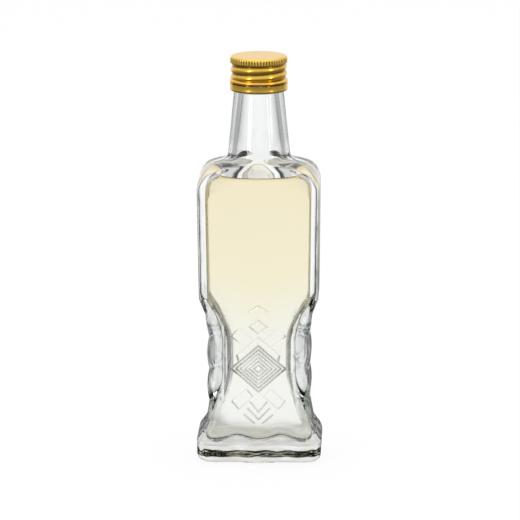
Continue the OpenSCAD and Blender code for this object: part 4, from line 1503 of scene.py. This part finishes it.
@dataclass
class Studio:
    """White sweep, soft surroundings, lamps and camera."""

    target: tuple[float, float, float] = (0.0, 0.0, 0.0665)
    distance: float = 1.4
    elevation: float = 12.4
    turn: float = 2.0
    roll: float = 0.18
    scale_mm: float = 0.32
    picture: int = 520
    target_pixel: tuple[float, float] = (259.4, 254.0)
    through_levels: dict[float, float] = field(default_factory=lambda: {
        0.0: 1.0, 28.0: 1.0, 38.0: 0.42, 60.0: 0.42, 72.0: 0.85, 102.0: 0.85, 118.0: 0.5, 145.0: 0.5, 160.0: 0.8,
        180.0: 0.8})
    low_levels: dict[float, float] = field(default_factory=lambda: {
        0.0: 1.0, 12.0: 1.0, 16.0: 0.42, 26.0: 0.45, 32.0: 0.75, 42.0: 0.45, 60.0: 0.45, 72.0: 0.85, 102.0: 0.85,
        118.0: 0.5, 145.0: 0.5, 160.0: 0.8, 180.0: 0.8})
    upper_levels: dict[float, float] = field(default_factory=lambda: {
        0.0: 1.0, 32.0: 1.0, 45.0: 0.7, 180.0: 0.7})
    shine_levels: dict[float, float] = field(default_factory=lambda: {
        0.0: 1.0, 35.0: 1.0, 60.0: 0.4, 180.0: 0.4})
    # Painted shadow near the bottle, in the floor that metal and glass reflect.
    shine_near_shadow: float = 0.08
    wall_levels: dict[float, float] = field(default_factory=lambda: {
        0.0: 1.0, 50.0: 1.0, 75.0: 0.3, 110.0: 0.3, 125.0: 0.8, 150.0: 0.8, 165.0: 0.45, 180.0: 0.45})
    near_floor: float = 0.03
    low_reach: float = 0.24
    # Painted shadow near the bottle, in the floor seen through the glass.
    near_shadow_level: float = 0.8
    glow_share: float = 0.9
    sensor: float = 36.0
    sky_window: tuple[float, float] = (0.06, 0.14)
    ceiling_z: float = 0.5
    floor_half: float = 4.0
    lamps: tuple[tuple[str, tuple[float, float, float], tuple[float, float], float], ...] = (
        ("overhead", (0.0, 0.15, 0.95), (0.9, 0.9), 1.8),
        ("left_strip", (-0.62, -0.75, 0.42), (0.16, 0.8), 1.5),
        ("right_strip", (0.75, -0.55, 0.42), (0.12, 0.7), 1.0),
    )

    def add_camera(self) -> bpy.types.Object:
        """Adds the camera at the viewing angle and makes it the scene's camera."""
        e, t = math.radians(self.elevation), math.radians(self.turn)
        out = Vector((math.sin(t) * math.cos(e), -math.cos(t) * math.cos(e), math.sin(e)))
        lens = bpy.data.cameras.new("view")
        lens.sensor_width = self.sensor
        lens.lens = self.sensor * self.distance / (self.scale_mm * self.picture * MM)
        camera = add_object("view", lens)
        right = Vector((math.cos(t), math.sin(t), 0.0))
        up = right.cross(-out)
        shift_x = (self.target_pixel[0] - self.picture / 2) * self.scale_mm * MM
        shift_y = (self.picture / 2 - self.target_pixel[1]) * self.scale_mm * MM
        aim = Vector(self.target) - right * shift_x - up * shift_y
        camera.matrix_world = (-out).to_track_quat("-Z", "Y").to_matrix().to_4x4()
        camera.location = aim + out * self.distance
        camera.rotation_euler.rotate_axis("Z", math.radians(-self.roll))
        lens.clip_start, lens.clip_end = 0.05, 50.0
        bpy.context.scene.camera = camera
        return camera

    def around(self, kit: NodeKit, x: Socket, y: Socket, levels: dict[float, float]) -> Socket:
        """Grey level by the side of the room that a direction faces.

        Args:
            kit: Nodes of the world or of the floor.
            x: How far the direction goes to the right.
            y: How far it goes to the back.
            levels: Level at each angle from the back, in degrees, the same to the left and right.

        Returns:
            The level as a colour.
        """
        flat = kit.length(x, y, 1e-8)
        stops = [(0.5 + 0.5 * math.cos(math.radians(angle)), (level,) * 3) for angle, level in levels.items()]
        return kit.ramp(y / flat * 0.5 + 0.5, sorted(stops))

    def add_world(self) -> None:
        """Adds the surroundings: white to the camera, a bright sweep behind and greyer sides for glass and metal."""
        world = bpy.data.worlds.new("white_room")
        world.use_nodes = True
        bpy.context.scene.world = world
        kit = NodeKit(world.node_tree)
        way = kit.add("ShaderNodeTexCoord", {}, {}, "Generated")
        x, y, z = kit.axis(way, "X"), kit.axis(way, "Y"), kit.axis(way, "Z")
        high = kit.window(z, *self.sky_window)
        through = kit.blend(high, self.around(kit, x, y, self.through_levels),
                            self.around(kit, x, y, self.upper_levels))
        ceiling = kit.blend(z / self.ceiling_z, self.around(kit, x, y, self.wall_levels), (1.0, 1.0, 1.0))
        seen, passing = kit.rays("Camera", "Transmission")
        colour = kit.blend(seen, kit.blend(passing, ceiling, through), (1.0, 1.0, 1.0))
        back = kit.node("ShaderNodeBackground", {}, {"Color": colour, "Strength": 1.0})
        kit.node("ShaderNodeOutputWorld", {}, {"Surface": back.outputs[0]})

    def add_floor(self) -> bpy.types.Object:
        """Adds the white sweep's floor, which keeps a soft shadow, with a painted shadow near the bottle in what
        glass and metal show of it.
        """
        mesh = bpy.data.meshes.new("sweep")
        half = self.floor_half
        mesh.from_pydata([(-half, -half, 0), (half, -half, 0), (half, half, 0), (-half, half, 0)], [], [(0, 1, 2, 3)])
        floor = add_object("sweep", mesh)
        material, kit = new_material("white_sweep")
        seen, glossy, passing = kit.rays("Camera", "Glossy", "Transmission")
        place = kit.place()
        x, y = kit.axis(place, "X"), kit.axis(place, "Y")
        away = kit.length(x, y)
        far = (away - self.near_floor) / self.near_floor
        beyond = kit.blend((away - self.low_reach) / 0.08, self.around(kit, x, y, self.low_levels),
                           self.around(kit, x, y, self.through_levels))
        # Painted shadow near the bottle for rays through the glass.
        through = kit.blend(far, (self.near_shadow_level,) * 3, beyond)
        # Painted shadow near the bottle for reflected rays.
        shine = kit.blend((away - 0.2) / 0.4, (self.shine_near_shadow,) * 3, self.around(kit, x, y, self.shine_levels))
        colour = kit.blend(seen, kit.blend(passing, shine, through), (1.0, 1.0, 1.0))
        glow = kit.node("ShaderNodeEmission", {}, {"Color": colour, "Strength": 1.0})
        matte = kit.node("ShaderNodeBsdfDiffuse", {}, {"Color": (0.9, 0.9, 0.9)})
        share = kit.add("ShaderNodeMath", {"operation": "MINIMUM"}, {0: seen + glossy + passing, 1: 1.0})
        surface = kit.node("ShaderNodeMixShader", {},
                           {0: share * self.glow_share, 1: matte.outputs[0], 2: glow.outputs[0]})
        kit.node("ShaderNodeOutputMaterial", {}, {"Surface": surface.outputs[0]})
        mesh.materials.append(material)
        return floor

    def add_lamp(self, name: str, place: tuple[float, float, float], size: tuple[float, float], watts: float) -> None:
        """Adds a soft rectangular lamp that looks at the bottle.

        Args:
            name: Name of the lamp.
            place: Where it stands, in metres.
            size: Its width and height, in metres.
            watts: Its power.
        """
        lamp = bpy.data.lights.new(name, "AREA")
        lamp.shape = "RECTANGLE"
        lamp.size, lamp.size_y = size
        lamp.energy = watts
        obj = add_object(name, lamp)
        obj.location = place
        way = Vector(self.target) + Vector((0, 0, 0.02)) - Vector(place)
        obj.rotation_euler = way.to_track_quat("-Z", "Y").to_euler()
        obj.visible_camera = False

    def build(self) -> None:
        """Adds everything that isn't part of the object."""
        self.add_camera()
        self.add_world()
        self.add_floor()
        for lamp in self.lamps:
            self.add_lamp(*lamp)
        bpy.context.scene.view_settings.view_transform = "Standard"


# ---------------------------------------------------------------- all together


def main() -> None:
    """Builds the studio and every piece."""
    logging.basicConfig(level=logging.INFO, format="%(message)s")
    Studio().build()
    form = FlaskForm()
    closure = Closure(form.cap_z)
    bottle = GlassBottle(form)
    for piece in (bottle.build(), Spirit(form).build(), closure.build_cap(), closure.build_band(),
                  closure.build_liner()):
        log.info("%s: %d points, %d faces", piece.name, len(piece.data.vertices), len(piece.data.polygons))


if __name__ == "__main__":
    main()
